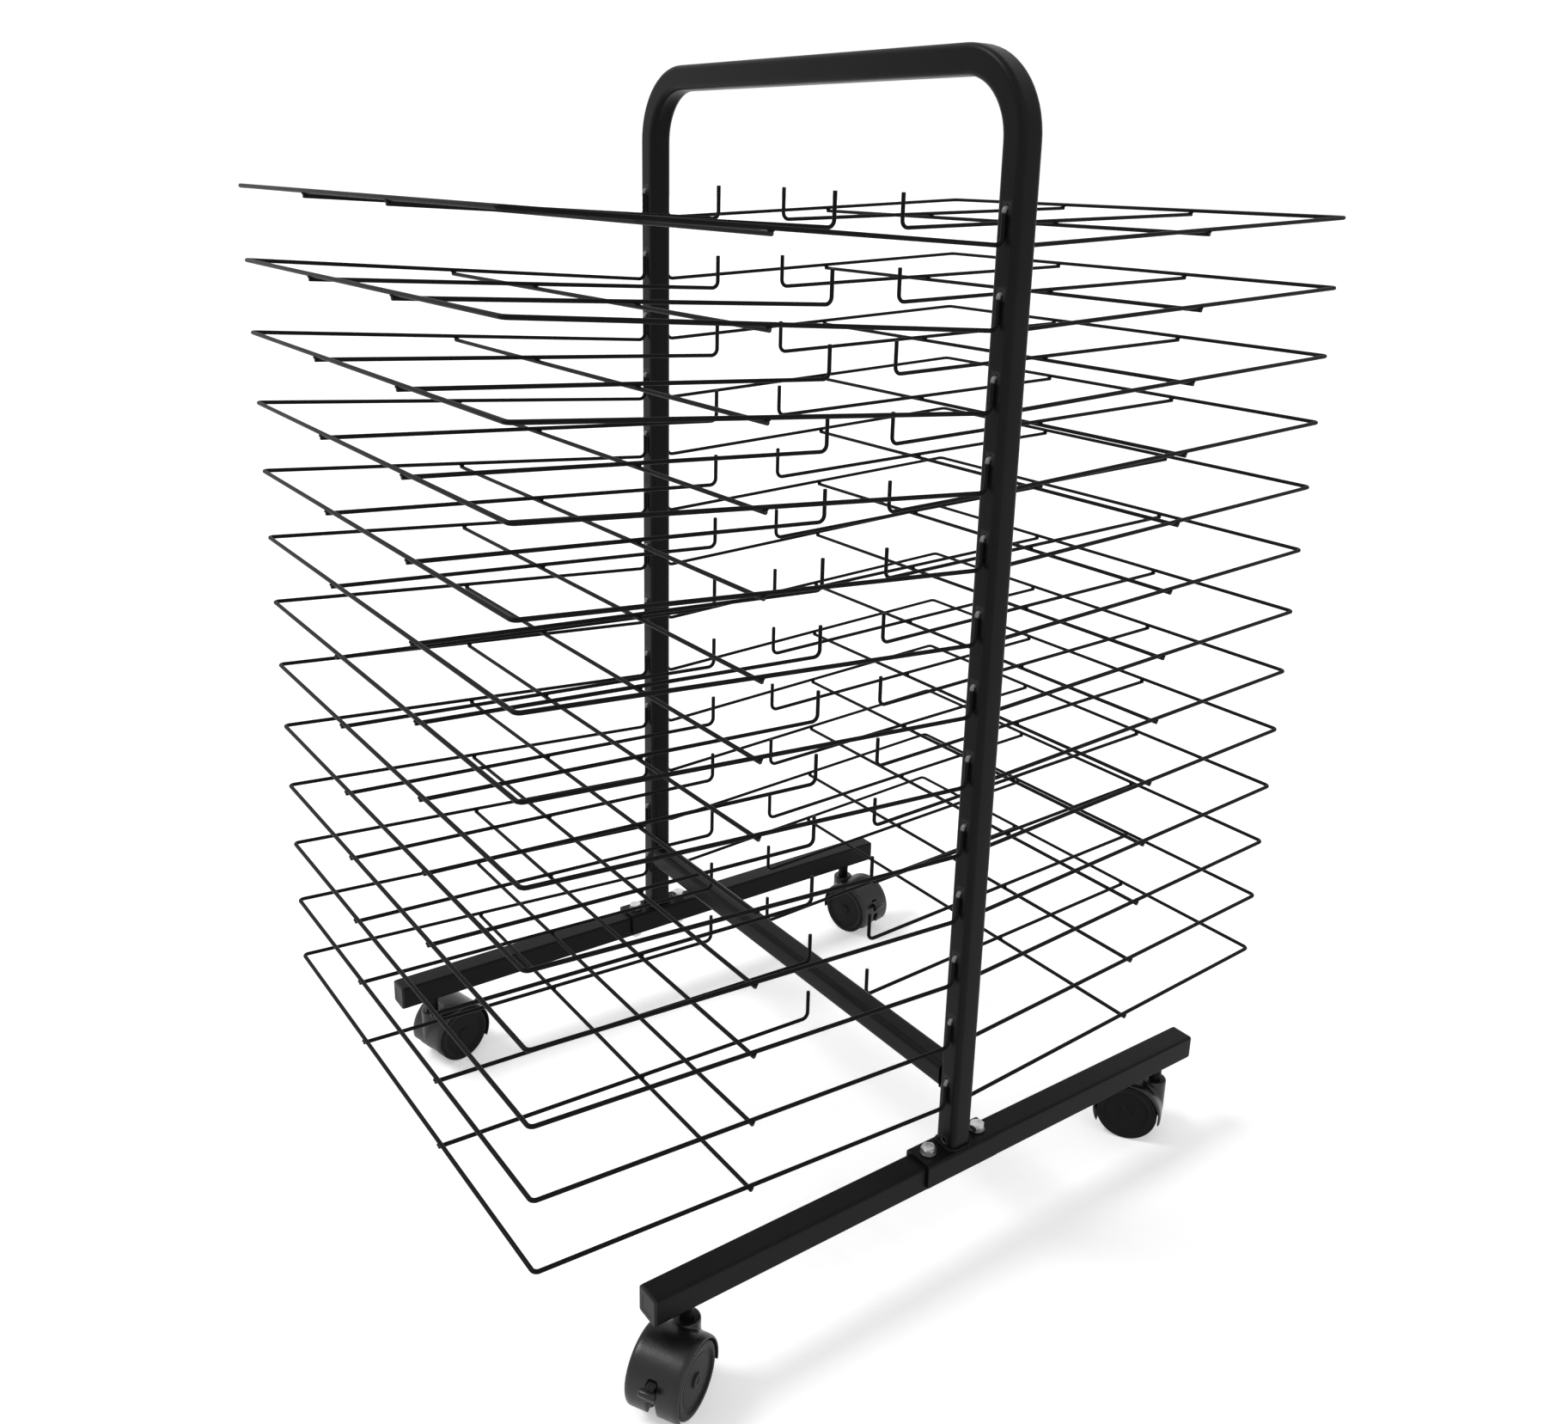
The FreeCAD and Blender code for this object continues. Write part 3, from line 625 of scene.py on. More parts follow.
# ------------------------------------------ bent frame, welded
# One length of square steel tube bent to an upside-down U. Hook holes are drilled
# through the front and back of each leg, and each leg is welded on its saddle.
RACK_HEIGHT = 849.0
TUBE_HALF = 9.5
TUBE_WALL = 1.5
TUBE_EDGE = 4.5
TUBE_BEND = 48.0
HOOK_HOLE = 2.2
HOLE_EDGE = 0.25
LOWEST_HOOK = 144.0
LEVEL_PITCH = 50.8
LEVELS = 13
BEND_STEPS = 16
BEND_DENT = 0.9                # how far the inside of each bend is drawn in
HOLE_SIDES = 20
HOLE_SCUFF_AND_GLINT = (0.08, 0.30)        # painted glint and wear on the face round a hole, and inside it
HOOK_HEIGHTS = [LOWEST_HOOK + LEVEL_PITCH * step for step in range(-1, LEVELS)]
CORNER_HEIGHT = RACK_HEIGHT - TUBE_HALF - TUBE_BEND
FLAT = TUBE_HALF - TUBE_EDGE


def tube_ring(centre, out, half, edge, dent):
    """Ring of the tube's section, with a middle point outside and a dented one inside."""
    ring = [centre + out * a + Vector((0, b, 0)) for a, b in square_ring(half, edge, 5)]
    middle = len(ring) // 2
    return ([centre + out * (half - 0.3 * dent)] + ring[:middle]
            + [centre - out * (half - dent)] + ring[middle:])


heights = [SADDLE_TOP] + [hook + way * FLAT for hook in HOOK_HEIGHTS for way in (-1, 1)]
stations = [(Vector((-HALF_SPAN, 0, height)), Vector((-1, 0, 0)), 0.0)
            for height in heights]
heart = Vector((TUBE_BEND - HALF_SPAN, 0, CORNER_HEIGHT))
for angle in angles(0, 90, BEND_STEPS):
    out = Vector((-math.cos(angle), 0, math.sin(angle)))
    dent = BEND_DENT * math.sin(2 * angle) ** 2
    stations.append((heart + out * TUBE_BEND, out, dent))
for centre, out, dent in stations[::-1]:
    stations.append((Vector((-centre.x, 0, centre.z)), Vector((-out.x, 0, out.z)), dent))

bm = bmesh.new()
rub = bm.verts.layers.float.new("rub")
skins = []
for half, edge in ((TUBE_HALF, TUBE_EDGE), (TUBE_HALF - TUBE_WALL, TUBE_EDGE - TUBE_WALL)):
    skins.append([[bm.verts.new(p * MM) for p in tube_ring(c, o, half, edge, d)]
                  for c, o, d in stations])
holed = {}
for number, (one, two) in enumerate(zip(stations, stations[1:])):
    for hook in HOOK_HEIGHTS:
        if abs((one[0].z + two[0].z) / 2 - hook) < 0.01 and abs(one[0].x - two[0].x) < 0.01:
            holed[number] = Vector((one[0].x, 0, hook))


def on_flat(one, two):
    """Whether an edge of a ring lies in the tube's front or back face."""
    return (abs(one.co.y - two.co.y) < NEAR
            and abs(one.co.y) > (TUBE_HALF - TUBE_WALL - 1.0) * MM)


for way, skin in zip((1, -1), skins):
    for number, (one, two) in enumerate(zip(skin, skin[1:])):
        band(bm, one, two, way, on_flat if number in holed else None)
for number, hook in holed.items():
    for facing in (-1, 1):
        circles = []
        for depth, radius in ((0.0, HOOK_HOLE + HOLE_EDGE), (HOLE_EDGE, HOOK_HOLE),
                              (TUBE_WALL - HOLE_EDGE, HOOK_HOLE),
                              (TUBE_WALL, HOOK_HOLE + HOLE_EDGE)):
            row = []
            for i in range(HOLE_SIDES):
                angle = math.radians(45 + 360 * i / HOLE_SIDES)
                row.append(bm.verts.new(Vector((
                    hook.x + radius * math.cos(angle), facing * (TUBE_HALF - depth),
                    hook.z + radius * math.sin(angle))) * MM))
            circles.append(row)
        # Pale metallic grey round and inside each hook hole: partly wear, partly a painted
        # glint.
        for vert in circles[0]:
            vert[rub] = HOLE_SCUFF_AND_GLINT[0]
        for vert in circles[1] + circles[2]:
            vert[rub] = HOLE_SCUFF_AND_GLINT[1]
        for one, two in zip(circles, circles[1:]):
            band(bm, one, two)
        for skin, row in ((skins[0], circles[0]), (skins[1], circles[3])):
            ends = [v for v in skin[number] + skin[number + 1]
                    if abs(v.co.y - row[0].co.y) < NEAR
                    and abs(abs(v.co.x - hook.x * MM) - FLAT * MM) < NEAR]
            ends.sort(key=lambda v: math.atan2(v.co.z - hook.z * MM, v.co.x - hook.x * MM)
                      % (2 * math.pi))
            quarter = HOLE_SIDES // 4
            for k in range(4):
                curve = [row[(k * quarter + i) % HOLE_SIDES] for i in range(quarter + 1)]
                bm.faces.new([ends[k], ends[(k + 1) % 4]] + curve[::-1])
for row in (0, -1):
    band(bm, skins[0][row], skins[1][row])
fitted(as_piece("bent_tube", bm), powder, "black_steel", "frame", "u_frame", weigh=True)


# ---------------------------------------------------- crossbar
# A straight length of the frame's own tube, cut square, that ties the uprights
# together low down. It is welded to their inner faces.
CROSSBAR_HEIGHT = 142.5
CROSSBAR_END = HALF_SPAN - TUBE_HALF

rings = []
for depth, x in ((0.0, -CROSSBAR_END), (0.0, CROSSBAR_END),
                 (TUBE_WALL, CROSSBAR_END), (TUBE_WALL, -CROSSBAR_END)):
    rings.append([(x, a, CROSSBAR_HEIGHT + b)
                  for a, b in square_ring(TUBE_HALF - depth, TUBE_EDGE - depth, 5)])
fitted(as_piece("crossbar_tube", loft(rings, joined=True)), powder, "black_steel",
       "frame", "crossbar", weigh=True)


# -------------------------------------------------- weld beads
# Weld metal laid round each upright's foot, and along the top and underside of the
# crossbar's ends. It ripples where the torch stepped on, and is coated with the rest.
BEAD = 1.6
BEAD_STEP = 1.5
BEAD_SEAT = 0.5
BEAD_REACH = 7.0
BEAD_DROOP = 0.4

start, given = new_tree("weld bead along its path", [
    ("Bead", "Float", BEAD * MM),
    ("Step", "Float", BEAD_STEP * MM),
    ("Uneven", "Float", 0.16),
    ("Finish", "Material", None),
    ("Seed", "Int", 7),
])
path = start.node("GeometryNodeMeshToCurve", {}, {"Mesh": given["Start"]})
spots = start.node("GeometryNodeCurveToPoints", {"mode": "LENGTH"}, {
    "Curve": path, "Length": given["Step"]}, "Points")
facing = Knot(start.tree, spots.socket.node.outputs["Rotation"])
size = start.node("FunctionNodeRandomValue", {"data_type": "FLOAT"}, {
    "Min_001": 1.0 - given["Uneven"], "Max_001": 1.0 + given["Uneven"],
    "Seed": given["Seed"]}, "Value_001")
squash = start.vector(X=size, Y=size, Z=size * 0.66)
drop = start.node("GeometryNodeMeshIcoSphere", {}, {
    "Radius": given["Bead"], "Subdivisions": 2})
ripples = start.node("GeometryNodeInstanceOnPoints", {}, {
    "Points": spots, "Instance": drop, "Rotation": facing, "Scale": squash})
section = start.node("GeometryNodeCurvePrimitiveCircle", {}, {
    "Resolution": 10, "Radius": given["Bead"] * 0.72})
core = start.node("GeometryNodeCurveToMesh", {}, {
    "Curve": path, "Profile Curve": section, "Fill Caps": True})
made = start.node("GeometryNodeJoinGeometry", {}, {"Geometry": [core, ripples]})
made = start.node("GeometryNodeSetShadeSmooth", {}, {"Geometry": made})
end_tree(made, given["Finish"])

points, edges = [], []
for x in (-HALF_SPAN, HALF_SPAN):
    first = len(points)
    ring = square_ring(TUBE_HALF + BEAD_SEAT, TUBE_EDGE + BEAD_SEAT, 5)
    points += [(x + a, b, SADDLE_TOP + BEAD_SEAT) for a, b in ring]
    edges += [(first + i, first + (i + 1) % len(ring)) for i in range(len(ring))]
    face = x - math.copysign(TUBE_HALF + BEAD_SEAT, x)
    for way in (-1, 1):
        first = len(points)
        height = CROSSBAR_HEIGHT + way * (TUBE_HALF + BEAD_SEAT)
        points += [(face, y, height - way * max(0.0, abs(y) - FLAT) * BEAD_DROOP)
                   for y in (-BEAD_REACH, -FLAT, 0.0, FLAT, BEAD_REACH)]
        edges += [(first + i, first + i + 1) for i in range(4)]
beads = grown("weld_beads", plan("bead paths", points, edges), start.tree, {
    "Finish": powder})
fitted(beads, powder, "black_steel", "frame")


# ------------------------------------------------ wire shelves
# Each shelf is four hard-drawn wires, spot welded where they cross and then coated.
# The rim wire's ends are bent up to hook through the uprights; two long wires pass
# under the rim and over the cross wire, and turn up near the frame to stop the sheets.
RIM_RADIUS = 1.5
CROSS_RADIUS = 1.5
SHELF_REACH = 336.5
SHELF_TILT = math.radians(3.3)
RISER = 22.0
HOOK_LEG = 9.0
RISER_PLACE = TUBE_HALF + 0.3 + RIM_RADIUS
LEG_PLACE = RISER_PLACE - 6.3
RIM_CORNER = 3.5
RISER_BEND = 5.0
HOOK_BEND = 2.2
CHAFED = 3.5
STOP_HEIGHT = 24.0
STOP_REACH = 30.0
STOP_BEND = 5.0
CROSS_REACH = 181.0
OVERHANG = 1.0
NUGGET = 2.1
CUT_BEVEL = 0.3
TIP_RUB = 0.1
HOOK_SCUFF_AND_GLINT = (0.30, 0.60)        # painted glint and wear on the hook's bend, and on the riser below it

points, edges, bends, radii, nuggets, scuff_and_glint_values = [], [], [], [], [], []


def on_shelf(x, reach, lift):
    """Point at a distance from the frame plane and a lift off the rim's plane."""
    rise = (reach - RISER_PLACE) * math.tan(SHELF_TILT)
    return Vector((x, reach - lift * math.sin(SHELF_TILT),
                   rise + lift * math.cos(SHELF_TILT) - RISER))


def add_wire(route, corners, radius, scuffs_and_glints):
    """One wire of the pattern, with the edges of its cut ends just broken."""
    first = len(points)
    for end, beside in ((0, 1), (-1, -2)):
        inward = (route[beside] - route[end]).normalized() * CUT_BEVEL
        route.insert(1 if end == 0 else len(route) - 1, route[end] + inward)
    count = len(route)
    points.extend(route)
    edges.extend((first + i, first + i + 1) for i in range(count - 1))
    bends.extend([0.0, 0.0] + corners + [0.0, 0.0])
    blunt = radius - CUT_BEVEL
    radii.extend([blunt] + [radius] * (count - 2) + [blunt])
    nuggets.extend([0.0] * count)
    scuff_and_glint_values.extend(scuffs_and_glints)


half = []
for x in (-HALF_SPAN, HALF_SPAN):
    half.append([Vector((x, LEG_PLACE, HOOK_LEG)), Vector((x, LEG_PLACE, 0.0)),
                 Vector((x, RISER_PLACE, 0.0)), Vector((x, RISER_PLACE, -CHAFED)),
                 Vector((x, RISER_PLACE, -RISER)), on_shelf(x, SHELF_REACH, 0.0)])
corners = [HOOK_BEND, HOOK_BEND, 0.0, RISER_BEND, RIM_CORNER]
# The hook's bend and the riser's top turn pale metallic grey: partly wear, partly a painted
# glint.
scuffs_and_glints = [0.0, 0.0, *HOOK_SCUFF_AND_GLINT, 0.0, 0.0, 0.0]
add_wire(half[0] + half[1][::-1], corners + corners[::-1], RIM_RADIUS, scuffs_and_glints + scuffs_and_glints[::-1])

weld = RIM_RADIUS + CROSS_RADIUS
add_wire([on_shelf(way * (HALF_SPAN + OVERHANG), CROSS_REACH, -weld) for way in (-1, 1)],
         [], CROSS_RADIUS, [TIP_RUB, 0.0, 0.0, TIP_RUB])
slope = 2 * CROSS_RADIUS / (SHELF_REACH - CROSS_REACH)
spots = [(x, CROSS_REACH, -RIM_RADIUS) for x in (-HALF_SPAN, HALF_SPAN)]
for x in (-HALF_SPAN / 3, HALF_SPAN / 3):
    corner = on_shelf(x, STOP_REACH, slope * (SHELF_REACH - STOP_REACH) - weld)
    tip = on_shelf(x, SHELF_REACH + OVERHANG, -slope * OVERHANG - weld)
    add_wire([corner + Vector((0, 0, STOP_HEIGHT)), corner, tip], [STOP_BEND],
             CROSS_RADIUS, [TIP_RUB, 0.0, 0.0, 0.0, TIP_RUB])
    spots += [(x, CROSS_REACH, CROSS_RADIUS - weld), (x, SHELF_REACH, -RIM_RADIUS)]
for spot in spots:
    points.append(on_shelf(*spot))
    nuggets.append(NUGGET)
    for values in (bends, radii, scuff_and_glint_values):
        values.append(0.0)

wire_plan = plan("wire plan", points, edges)
for name, scale, values in (("bend", MM, bends), ("thick", MM, radii),
                            ("nugget", MM, nuggets), ("rub", 1.0, scuff_and_glint_values)):
    layer = wire_plan.attributes.new(name, "FLOAT", "POINT")
    layer.data.foreach_set("value", [value * scale for value in values])

start, given = new_tree("wire shelf", [
    ("Hook height", "Float", 0.0),
    ("Side turn", "Float", 0.0),
    ("Bend steps", "Int", 6),
    ("Wire sides", "Int", 14),
    ("Weld flatness", "Float", 0.5),
    ("Finish", "Material", None),
])
bend, thick, nugget = [
    start.node("GeometryNodeInputNamedAttribute", {"data_type": "FLOAT"}, {"Name": name})
    for name in ("bend", "thick", "nugget")]
route = start.node("GeometryNodeMeshToCurve", {}, {"Mesh": given["Start"]})
route = start.node("GeometryNodeFilletCurve", {"mode": "POLY"}, {
    "Curve": route, "Count": given["Bend steps"], "Radius": bend})
section = start.node("GeometryNodeCurvePrimitiveCircle", {}, {
    "Resolution": given["Wire sides"], "Radius": 1.0})
wires = start.node("GeometryNodeCurveToMesh", {}, {
    "Curve": route, "Profile Curve": section, "Scale": thick, "Fill Caps": True})
welded = start.node("GeometryNodeSeparateGeometry", {"domain": "POINT"}, {
    "Geometry": given["Start"], "Selection": start.maths("GREATER_THAN", nugget, 0.0)})
blob = start.node("GeometryNodeMeshIcoSphere", {}, {"Radius": 1.0, "Subdivisions": 2})
flat = start.vector(X=nugget, Y=nugget, Z=nugget * given["Weld flatness"])
welds = start.node("GeometryNodeInstanceOnPoints", {}, {
    "Points": welded, "Instance": blob, "Scale": flat})
made = start.node("GeometryNodeJoinGeometry", {}, {"Geometry": [wires, welds]})
made = start.node("GeometryNodeRealizeInstances", {}, {"Geometry": made})
made = start.node("GeometryNodeMergeByDistance", {}, {"Geometry": made, "Distance": NEAR})
made = start.node("GeometryNodeSetShadeSmooth", {}, {"Geometry": made})
turn = start.vector(Z=given["Side turn"])
raised = start.vector(Z=given["Hook height"])
made = start.node("GeometryNodeTransform", {}, {
    "Geometry": made, "Translation": raised, "Rotation": turn})
end_tree(made, given["Finish"])

wire_coat = coating("semi-gloss black wire coat", (0.0036, 0.0036, 0.0039), 0.44, 900.0,
                    0.05, 0.07)
for level in range(LEVELS):
    for side_name, side_turn in (("back", 0.0), ("front", math.pi)):
        number = "%s_%02d" % (side_name, LEVELS - level)
        shelf = grown("wires_" + number, wire_plan, start.tree, {
            "Hook height": (LOWEST_HOOK + LEVEL_PITCH * level) * MM,
            "Side turn": side_turn, "Finish": wire_coat})
        fitted(shelf, wire_coat, "shelf_wire", "shelf_" + number, "shelf_" + number)


# ------------------------------------------ caster stems, nuts
# Turned steel stems: the thread goes up through the foot rail into a nut, the collar
# bears on the rail, and the hood turns on the pin below.
CASTERS = {                    # place of the stem, and the way the wheels trail
    "front_left": (-HALF_SPAN, -230.0, 104.0),
    "front_right": (HALF_SPAN, -230.0, -61.0),
    "back_left": (-HALF_SPAN, 230.0, 12.0),
    "back_right": (HALF_SPAN, 230.0, 215.0),
}
COLLAR = 5.0
COLLAR_LOW = 52.8
GROOVE_LOW = 57.6
GROOVE_HIGH = 59.0
GROOVE_DEPTH = 0.35
PIN = 3.5
PIN_LOW = 30.5
STEM_THREAD = 4.0
STEM_TURNS = 9
STEM_TOP = 76.0
STEM_NUT_FLATS = 13.0
STEM_NUT_HEIGHT = 6.5
STEM_NUT_MOUTH = 0.5


def on_caster(name, mesh, caster):
    """A copy of a mesh drawn round one stem, turned and moved to its own caster."""
    x, y, heading = CASTERS[caster]
    turn = Matrix.Rotation(math.radians(heading - 90), 4, "Z")
    copy = mesh.copy()
    copy.transform(Matrix.Translation(Vector((x, y, 0)) * MM) @ turn)
    copy.name = name
    return put(name, copy)


rings = [circle(PIN - 0.6, PIN_LOW), circle(PIN, PIN_LOW + 0.6), circle(PIN, COLLAR_LOW),
         circle(COLLAR - 0.4, COLLAR_LOW), circle(COLLAR, COLLAR_LOW + 0.4),
         circle(COLLAR, GROOVE_LOW), circle(COLLAR - GROOVE_DEPTH, GROOVE_LOW + 0.3),
         circle(COLLAR - GROOVE_DEPTH, GROOVE_HIGH - 0.3), circle(COLLAR, GROOVE_HIGH),
         circle(COLLAR, FOOT_UNDER - 0.4), circle(COLLAR - 0.4, FOOT_UNDER - 0.02),
         circle(STEM_THREAD - 0.45, FOOT_UNDER - 0.02)]
for count in range(STEM_TURNS):
    root = FOOT_UNDER + 0.4 + count
    rings += [circle(STEM_THREAD - 0.45, root), circle(STEM_THREAD - 0.05, root + 0.5)]
rings += [circle(STEM_THREAD - 0.5, STEM_TOP - 0.3), circle(STEM_THREAD - 0.9, STEM_TOP)]
stem = as_mesh("stem_pattern", loft(rings, capped=True), 25.0)
bm = bmesh.new()
for caster in CASTERS:
    copy = on_caster("stem_copy", stem, caster)
    bm.from_mesh(copy.data)
    bpy.data.objects.remove(copy)
fitted(as_piece("caster_stem_pins", bm, 25.0), powder, "black_steel", "frame",
       "caster_stems")

stem_nut = nut_shape(STEM_NUT_FLATS, STEM_NUT_HEIGHT, STEM_THREAD, STEM_NUT_MOUTH)
stem_points = plan("stem points", [(x, y, 0) for x, y, turn in CASTERS.values()])
fasten("caster_stem_nuts", "stem_nuts", stem_nut, stem_points, FOOT_UNDER + FOOT_WALL,
       zinc, Seed=9)


# ------------------------------------------------ caster hoods
# Moulded nylon: a cover over both wheels, a web down the middle that carries the axle
# and the brake lever, and a neck for the stem. Its corners are softly rounded.
TRAIL = 19.0
AXLE_HEIGHT = 25.0
HOOD_INNER = 26.0
HOOD_OUTER = 28.2
HOOD_LIP = 0.4
HOOD_HALF_WIDTH = 19.9
SHOULDER = 4.5
TAIL_ANGLE = -28
FRONT_ANGLE = 192
WEB_HALF = 5.0
BOSS = 7.0
NECK = 9.5
NECK_TOP = 52.5
NECK_BEVEL = 0.9
NECK_FIT = 0.08
SLOT_HALF = 3.3
TAIL_SLOT = 20.5
GRAIN_SIZE = 0.7


def around_axle(x, reach, angle):
    """Point about the axle; angles rise in degrees from the trailing side."""
    turn = math.radians(angle)
    return (x, TRAIL + reach * math.cos(turn), AXLE_HEIGHT + reach * math.sin(turn))


def slab(outline, half_width):
    """Closed block: an outline about the axle, between two flat sides."""
    return loft([[around_axle(x, reach, angle) for reach, angle in outline]
                 for x in (-half_width, half_width)], capped=True)


def arc(reach, start_angle, end_angle, steps=24):
    return [(reach, start_angle + (end_angle - start_angle) * i / steps)
            for i in range(steps + 1)]


section = [(-HOOD_HALF_WIDTH, HOOD_INNER), (-HOOD_HALF_WIDTH, HOOD_INNER + HOOD_LIP)]
for angle in angles(0, 90, 8)[::-1]:
    drop = (HOOD_OUTER - HOOD_INNER - HOOD_LIP) * (1 - math.cos(angle))
    section.append((SHOULDER * (1 - math.sin(angle)) - HOOD_HALF_WIDTH, HOOD_OUTER - drop))
section += [(-a, b) for a, b in section[::-1]]
cover = loft([[around_axle(x, reach, angle) for x, reach in section]
              for angle in range(TAIL_ANGLE, FRONT_ANGLE + 1, 4)], capped=True)
web = slab([(0.0, 0.0)] + arc(HOOD_INNER + 0.6, TAIL_ANGLE, FRONT_ANGLE, 60), WEB_HALF)
boss = slab(arc(BOSS, 0, 360 - 7.5, 47), WEB_HALF)
neck = loft([circle(NECK, AXLE_HEIGHT), circle(NECK, 44.0),
             circle(NECK, NECK_TOP - NECK_BEVEL), circle(NECK - NECK_BEVEL, NECK_TOP)],
            capped=True)
room_a, room_b = [
    loft([[around_axle(side * x, HOOD_INNER, 5 * i) for i in range(72)]
          for x in (WEB_HALF, HOOD_HALF_WIDTH + 4)], capped=True) for side in (-1, 1)]
socket = loft([circle(PIN + NECK_FIT, NECK_TOP - 23), circle(PIN + NECK_FIT, NECK_TOP + 1)],
              capped=True)
lever_room = slab(arc(HOOD_INNER, 4, 58) + arc(BOSS + 1, 58, 4), SLOT_HALF)
window = slab(arc(2 * HOOD_OUTER, 5, 29) + arc(HOOD_INNER - 1, 29, 5), SLOT_HALF)
tail_slot = slab(arc(2 * HOOD_OUTER, -56, -2) + arc(TAIL_SLOT, -2, -56), SLOT_HALF)
hood = as_piece("neck_shape", neck)
shapes = [hood]
for operation, *parts in (("DIFFERENCE", room_a, room_b), ("UNION", cover, web, boss),
                          ("DIFFERENCE", socket, lever_room, window, tail_slot)):
    for part in parts:
        shapes.append(as_piece("hood_shape", part))
        cut = hood.modifiers.new("cut or join", "BOOLEAN")
        cut.operation = operation
        cut.solver = "EXACT"
        cut.object = shapes[-1]
skin = hood.modifiers.new("even skin", "REMESH")
skin.mode = "VOXEL"
skin.voxel_size = GRAIN_SIZE * MM
soften = hood.modifiers.new("rounded corners", "SMOOTH")
soften.factor = 0.5
soften.iterations = 3
graph = bpy.context.evaluated_depsgraph_get()
hood_mesh = bpy.data.meshes.new_from_object(hood.evaluated_get(graph))
for shape in shapes:
    bpy.data.objects.remove(shape)
for face in hood_mesh.polygons:
    face.use_smooth = True

hood_nylon = moulded("dark grey moulded nylon", (0.0065, 0.0065, 0.0071), 0.30, 1300.0,
                     0.36)
for caster in CASTERS:
    hood = on_caster("hood_" + caster, hood_mesh, caster)
    fitted(hood, hood_nylon, "black_plastic", "caster_" + caster,
           "caster_%s_hood" % caster)


# ------------------------------------------------------ wheels
# Twin wheels turned and moulded in hard nylon: a solid rim with rounded edges, a thin
# dished face and a raised hub cap. They run free on a plain steel axle.
WHEEL = 25.0
WHEEL_BACK = 5.9
WHEEL_FRONT = 18.9
WHEEL_EDGE = 1.8
RIM_INNER = 20.5
DISH = 17.7
SKIN = 14.7
BORE = 3.05
HUB = 7.0
HUB_CAP = 5.0
AXLE_RADIUS = 3.0
AXLE_HALF = 14.7
AXLE_BEVEL = 0.4
HEART = 0.4                    # radius of the faces that close a turned shape


def turned(profile, side, sides=96):
    """Turned shape from (radius, distance along the axle) points."""
    return loft([[around_axle(side * x, reach, 360 * i / sides) for i in range(sides)]
                 for reach, x in profile], capped=True)


profile = [(HEART, SKIN + 1.5), (BORE, SKIN + 1.5), (BORE, WHEEL_BACK + 0.3),
           (BORE + 0.3, WHEEL_BACK), (HUB - 0.3, WHEEL_BACK), (HUB, WHEEL_BACK + 0.3),
           (HUB + 0.1, SKIN - 1.2), (HUB + 0.5, SKIN - 0.4), (HUB + 1.3, SKIN),
           (RIM_INNER - 1.3, SKIN),
           (RIM_INNER - 0.5, SKIN - 0.4), (RIM_INNER - 0.1, SKIN - 1.2),
           (RIM_INNER, WHEEL_BACK + 0.3), (RIM_INNER + 0.3, WHEEL_BACK)]
for heart_x, first, last in ((WHEEL_BACK + WHEEL_EDGE, -90, 0),
                             (WHEEL_FRONT - WHEEL_EDGE, 0, 90)):
    for angle in angles(first, last, 6):
        profile.append((WHEEL - WHEEL_EDGE + WHEEL_EDGE * math.cos(angle),
                        heart_x + WHEEL_EDGE * math.sin(angle)))
    if first < 0:
        middle = (WHEEL_BACK + WHEEL_FRONT) / 2
        profile += [(WHEEL, middle - 0.35), (WHEEL - 0.18, middle - 0.2),
                    (WHEEL - 0.18, middle + 0.2), (WHEEL, middle + 0.35)]
profile += [(RIM_INNER + 0.5, WHEEL_FRONT), (RIM_INNER + 0.1, WHEEL_FRONT - 0.1),
            (RIM_INNER - 0.8, DISH + 0.25), (RIM_INNER - 1.4, DISH),
            (RIM_INNER - 3.0, DISH), (RIM_INNER - 3.15, DISH - 0.2),
            (RIM_INNER - 3.6, DISH - 0.2), (RIM_INNER - 3.75, DISH),
            (HUB_CAP + 2.6, DISH), (HUB_CAP + 0.5, DISH + 0.1), (HUB_CAP + 0.1, DISH + 0.5),
            (HUB_CAP, WHEEL_FRONT - 0.4), (HUB_CAP - 0.4, WHEEL_FRONT - 0.06),
            (HUB_CAP - 0.9, WHEEL_FRONT), (2.3, WHEEL_FRONT), (2.1, WHEEL_FRONT - 0.25),
            (HEART, WHEEL_FRONT - 0.25)]


def wheel_finish():
    """Hard black nylon with faint turning rings, scuffed grey along the tread."""
    finish, start, place = new_finish("hard wheel nylon")
    reach = start.node("ShaderNodeAttribute", {"attribute_name": "reach"}, {}, "Fac")
    rings = start.node("ShaderNodeTexNoise", {"noise_dimensions": "1D"}, {
        "W": reach, "Scale": 2.2, "Detail": 3.0})
    dust = start.noise(place, 160.0, 5.0, Roughness=0.65)
    tread = start.node("ShaderNodeMapRange", {}, {
        "Value": reach, "From Min": WHEEL - 1.2, "From Max": WHEEL - 0.1})
    scuff = start.node("ShaderNodeClamp", {}, {"Value": tread * (dust * 2.6 - 0.85)})
    paint = start.ramp(dust * 0.6 + rings * 0.4, (0.30, (0.0045, 0.0045, 0.0048)),
                       (0.75, (0.0090, 0.0090, 0.0096)))
    paint = start.blend(scuff, paint, (0.032, 0.031, 0.030, 1.0))
    start.skin(0.05, 0.35, rings + dust * 0.4, {
        "Base Color": paint, "Specular IOR Level": 0.09,
        "Roughness": 0.36 + (rings - 0.5) * 0.16 + scuff * 0.3})
    return finish


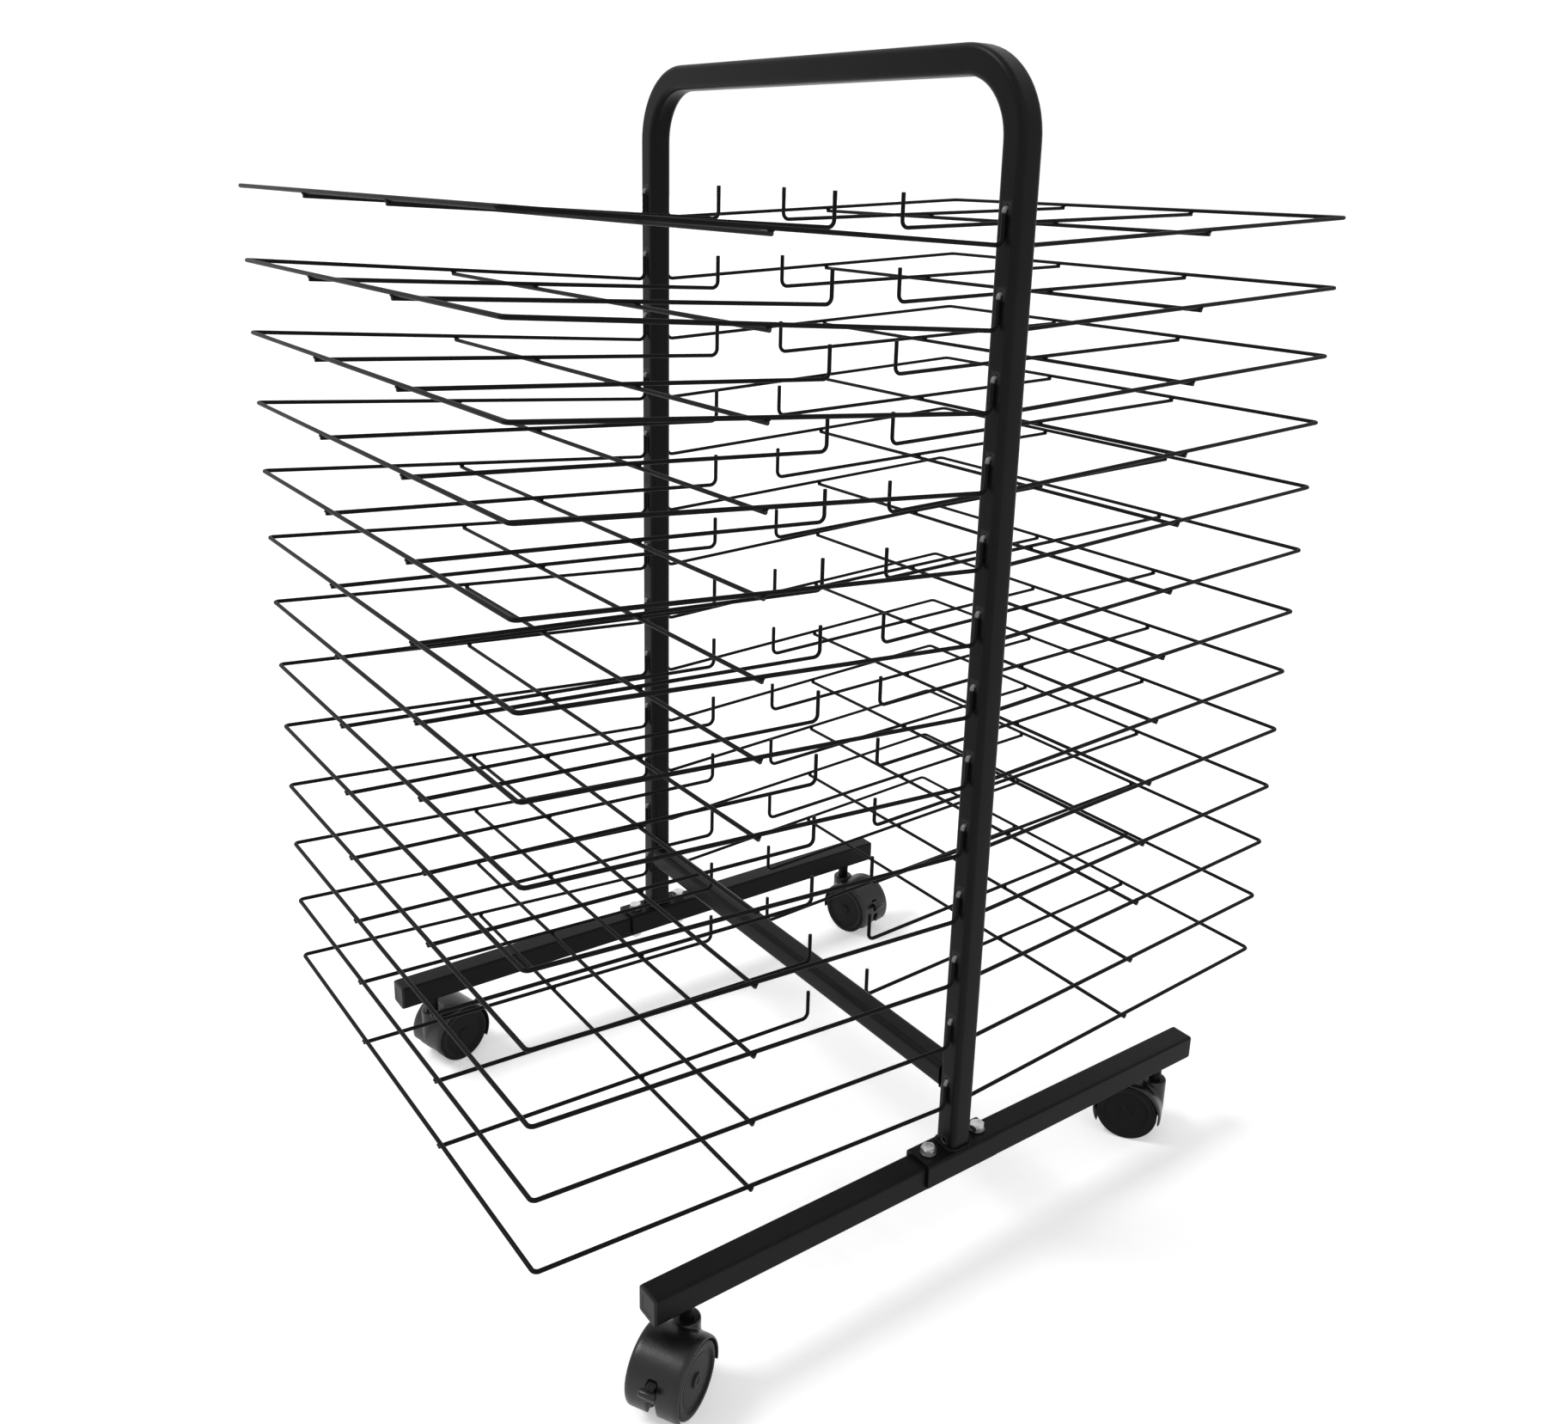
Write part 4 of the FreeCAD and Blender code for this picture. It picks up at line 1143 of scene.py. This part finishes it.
wheel_nylon = wheel_finish()
wheel_meshes = {}
for letter, side in (("a", -1), ("b", 1)):
    mesh = as_mesh("wheel_pattern", turned(profile, side), 32.0)
    layer = mesh.attributes.new("reach", "FLOAT", "POINT")
    layer.data.foreach_set("value", [
        math.hypot(vert.co.y / MM - TRAIL, vert.co.z / MM - AXLE_HEIGHT)
        for vert in mesh.vertices])
    wheel_meshes[letter] = mesh
axle_profile = [(AXLE_RADIUS - inset, x) for x, inset in bevelled(AXLE_HALF, AXLE_BEVEL)]
axle_mesh = as_mesh("axle_pattern", turned(
    [(HEART, -AXLE_HALF)] + axle_profile + [(HEART, AXLE_HALF)], 1, 40), 30.0)
for caster in CASTERS:
    for letter, mesh in wheel_meshes.items():
        body = "caster_%s_wheel_%s" % (caster, letter)
        wheel = on_caster("disc_%s_%s" % (caster, letter), mesh, caster)
        fitted(wheel, wheel_nylon, "wheel_plastic", body, body)
    axle = on_caster("axle_pin_" + caster, axle_mesh, caster)
    fitted(axle, zinc, "zinc", "caster_" + caster, "caster_%s_axle" % caster)


# ------------------------------------------------ brake levers
# Moulded levers that turn on stub pins in the hood's web. The lever sticks out of the
# cover's window, ridged for grip, and ends in a wider toe bar.
LEVER_HALF = 3.0
LEVER_DEPTH = 2.5
LEVER_BOSS = 4.5
LEVER_BEVEL = 0.4
LEVER_PIN = 2.0
PIN_BEVEL = 0.3
TOE_HALF = 6.0
TOE_RADIUS = 2.7
PIVOT = Vector(around_axle(0.0, 15.5, 46.0))
TIP = Vector(around_axle(0.0, 33.0, 16.0))
ALONG = (TIP - PIVOT).normalized()
ACROSS = Vector((1, 0, 0)).cross(ALONG)
RIDGES = 5
RIDGE_PITCH = 1.35
RIDGE_DEPTH = 0.45


def off(base, along, across):
    """Point in the lever's side view, off its pivot or its tip."""
    return base + ALONG * along + ACROSS * across


def lever_outline(inset):
    """Side view: boss, straight bar, ridged toe; every inset has as many points."""
    deep = LEVER_DEPTH - inset
    boss = LEVER_BOSS - inset
    reach = (TIP - PIVOT).length
    spread = math.asin(deep / boss)
    outline = []
    for step in range(25):
        angle = spread + (2 * math.pi - 2 * spread) * step / 24
        outline.append(off(PIVOT, boss * math.cos(angle), boss * math.sin(angle)))
    outline.append(off(PIVOT, reach * 0.7, -deep))
    for angle in angles(-90, 90, 12):
        outline.append(off(TIP, deep * math.cos(angle), deep * math.sin(angle)))
    for ridge in range(RIDGES):
        for along, dip in ((0.15, 0.0), (0.40, RIDGE_DEPTH),
                           (0.75, RIDGE_DEPTH), (1.0, 0.0)):
            outline.append(off(PIVOT, reach - (ridge + along) * RIDGE_PITCH, deep - dip))
    outline.append(off(PIVOT, math.sqrt(boss ** 2 - deep ** 2) + 0.4, deep))
    return outline


def round_bar(middle, along, across, sections):
    """Round bar across the lever, from (place, radius) sections."""
    return loft([[middle + Vector((x, 0, 0)) + along * (radius * math.cos(turn))
                  + across * (radius * math.sin(turn)) for turn in angles(0, 345, 23)]
                 for x, radius in sections], capped=True)


lever = loft([[point + Vector((x, 0, 0)) for point in lever_outline(inset)]
              for x, inset in bevelled(LEVER_HALF, LEVER_BEVEL)], capped=True)
add_shape(lever, round_bar(PIVOT, Vector((0, 1, 0)), Vector((0, 0, 1)), [
    (x, LEVER_PIN - inset) for x, inset in bevelled(WEB_HALF, PIN_BEVEL)]))
add_shape(lever, round_bar(TIP, ALONG, ACROSS, (
    (-TOE_HALF, TOE_RADIUS - 1.0), (0.4 - TOE_HALF, TOE_RADIUS - 0.4),
    (1.2 - TOE_HALF, TOE_RADIUS), (TOE_HALF - 1.2, TOE_RADIUS),
    (TOE_HALF - 0.4, TOE_RADIUS - 0.4), (TOE_HALF, TOE_RADIUS - 1.0))))
lever_mesh = as_mesh("lever_pattern", lever, 30.0)
for caster in CASTERS:
    lever = on_caster("toe_lever_" + caster, lever_mesh, caster)
    fitted(lever, hood_nylon, "black_plastic", "caster_%s_brake" % caster,
           "caster_%s_brake" % caster)
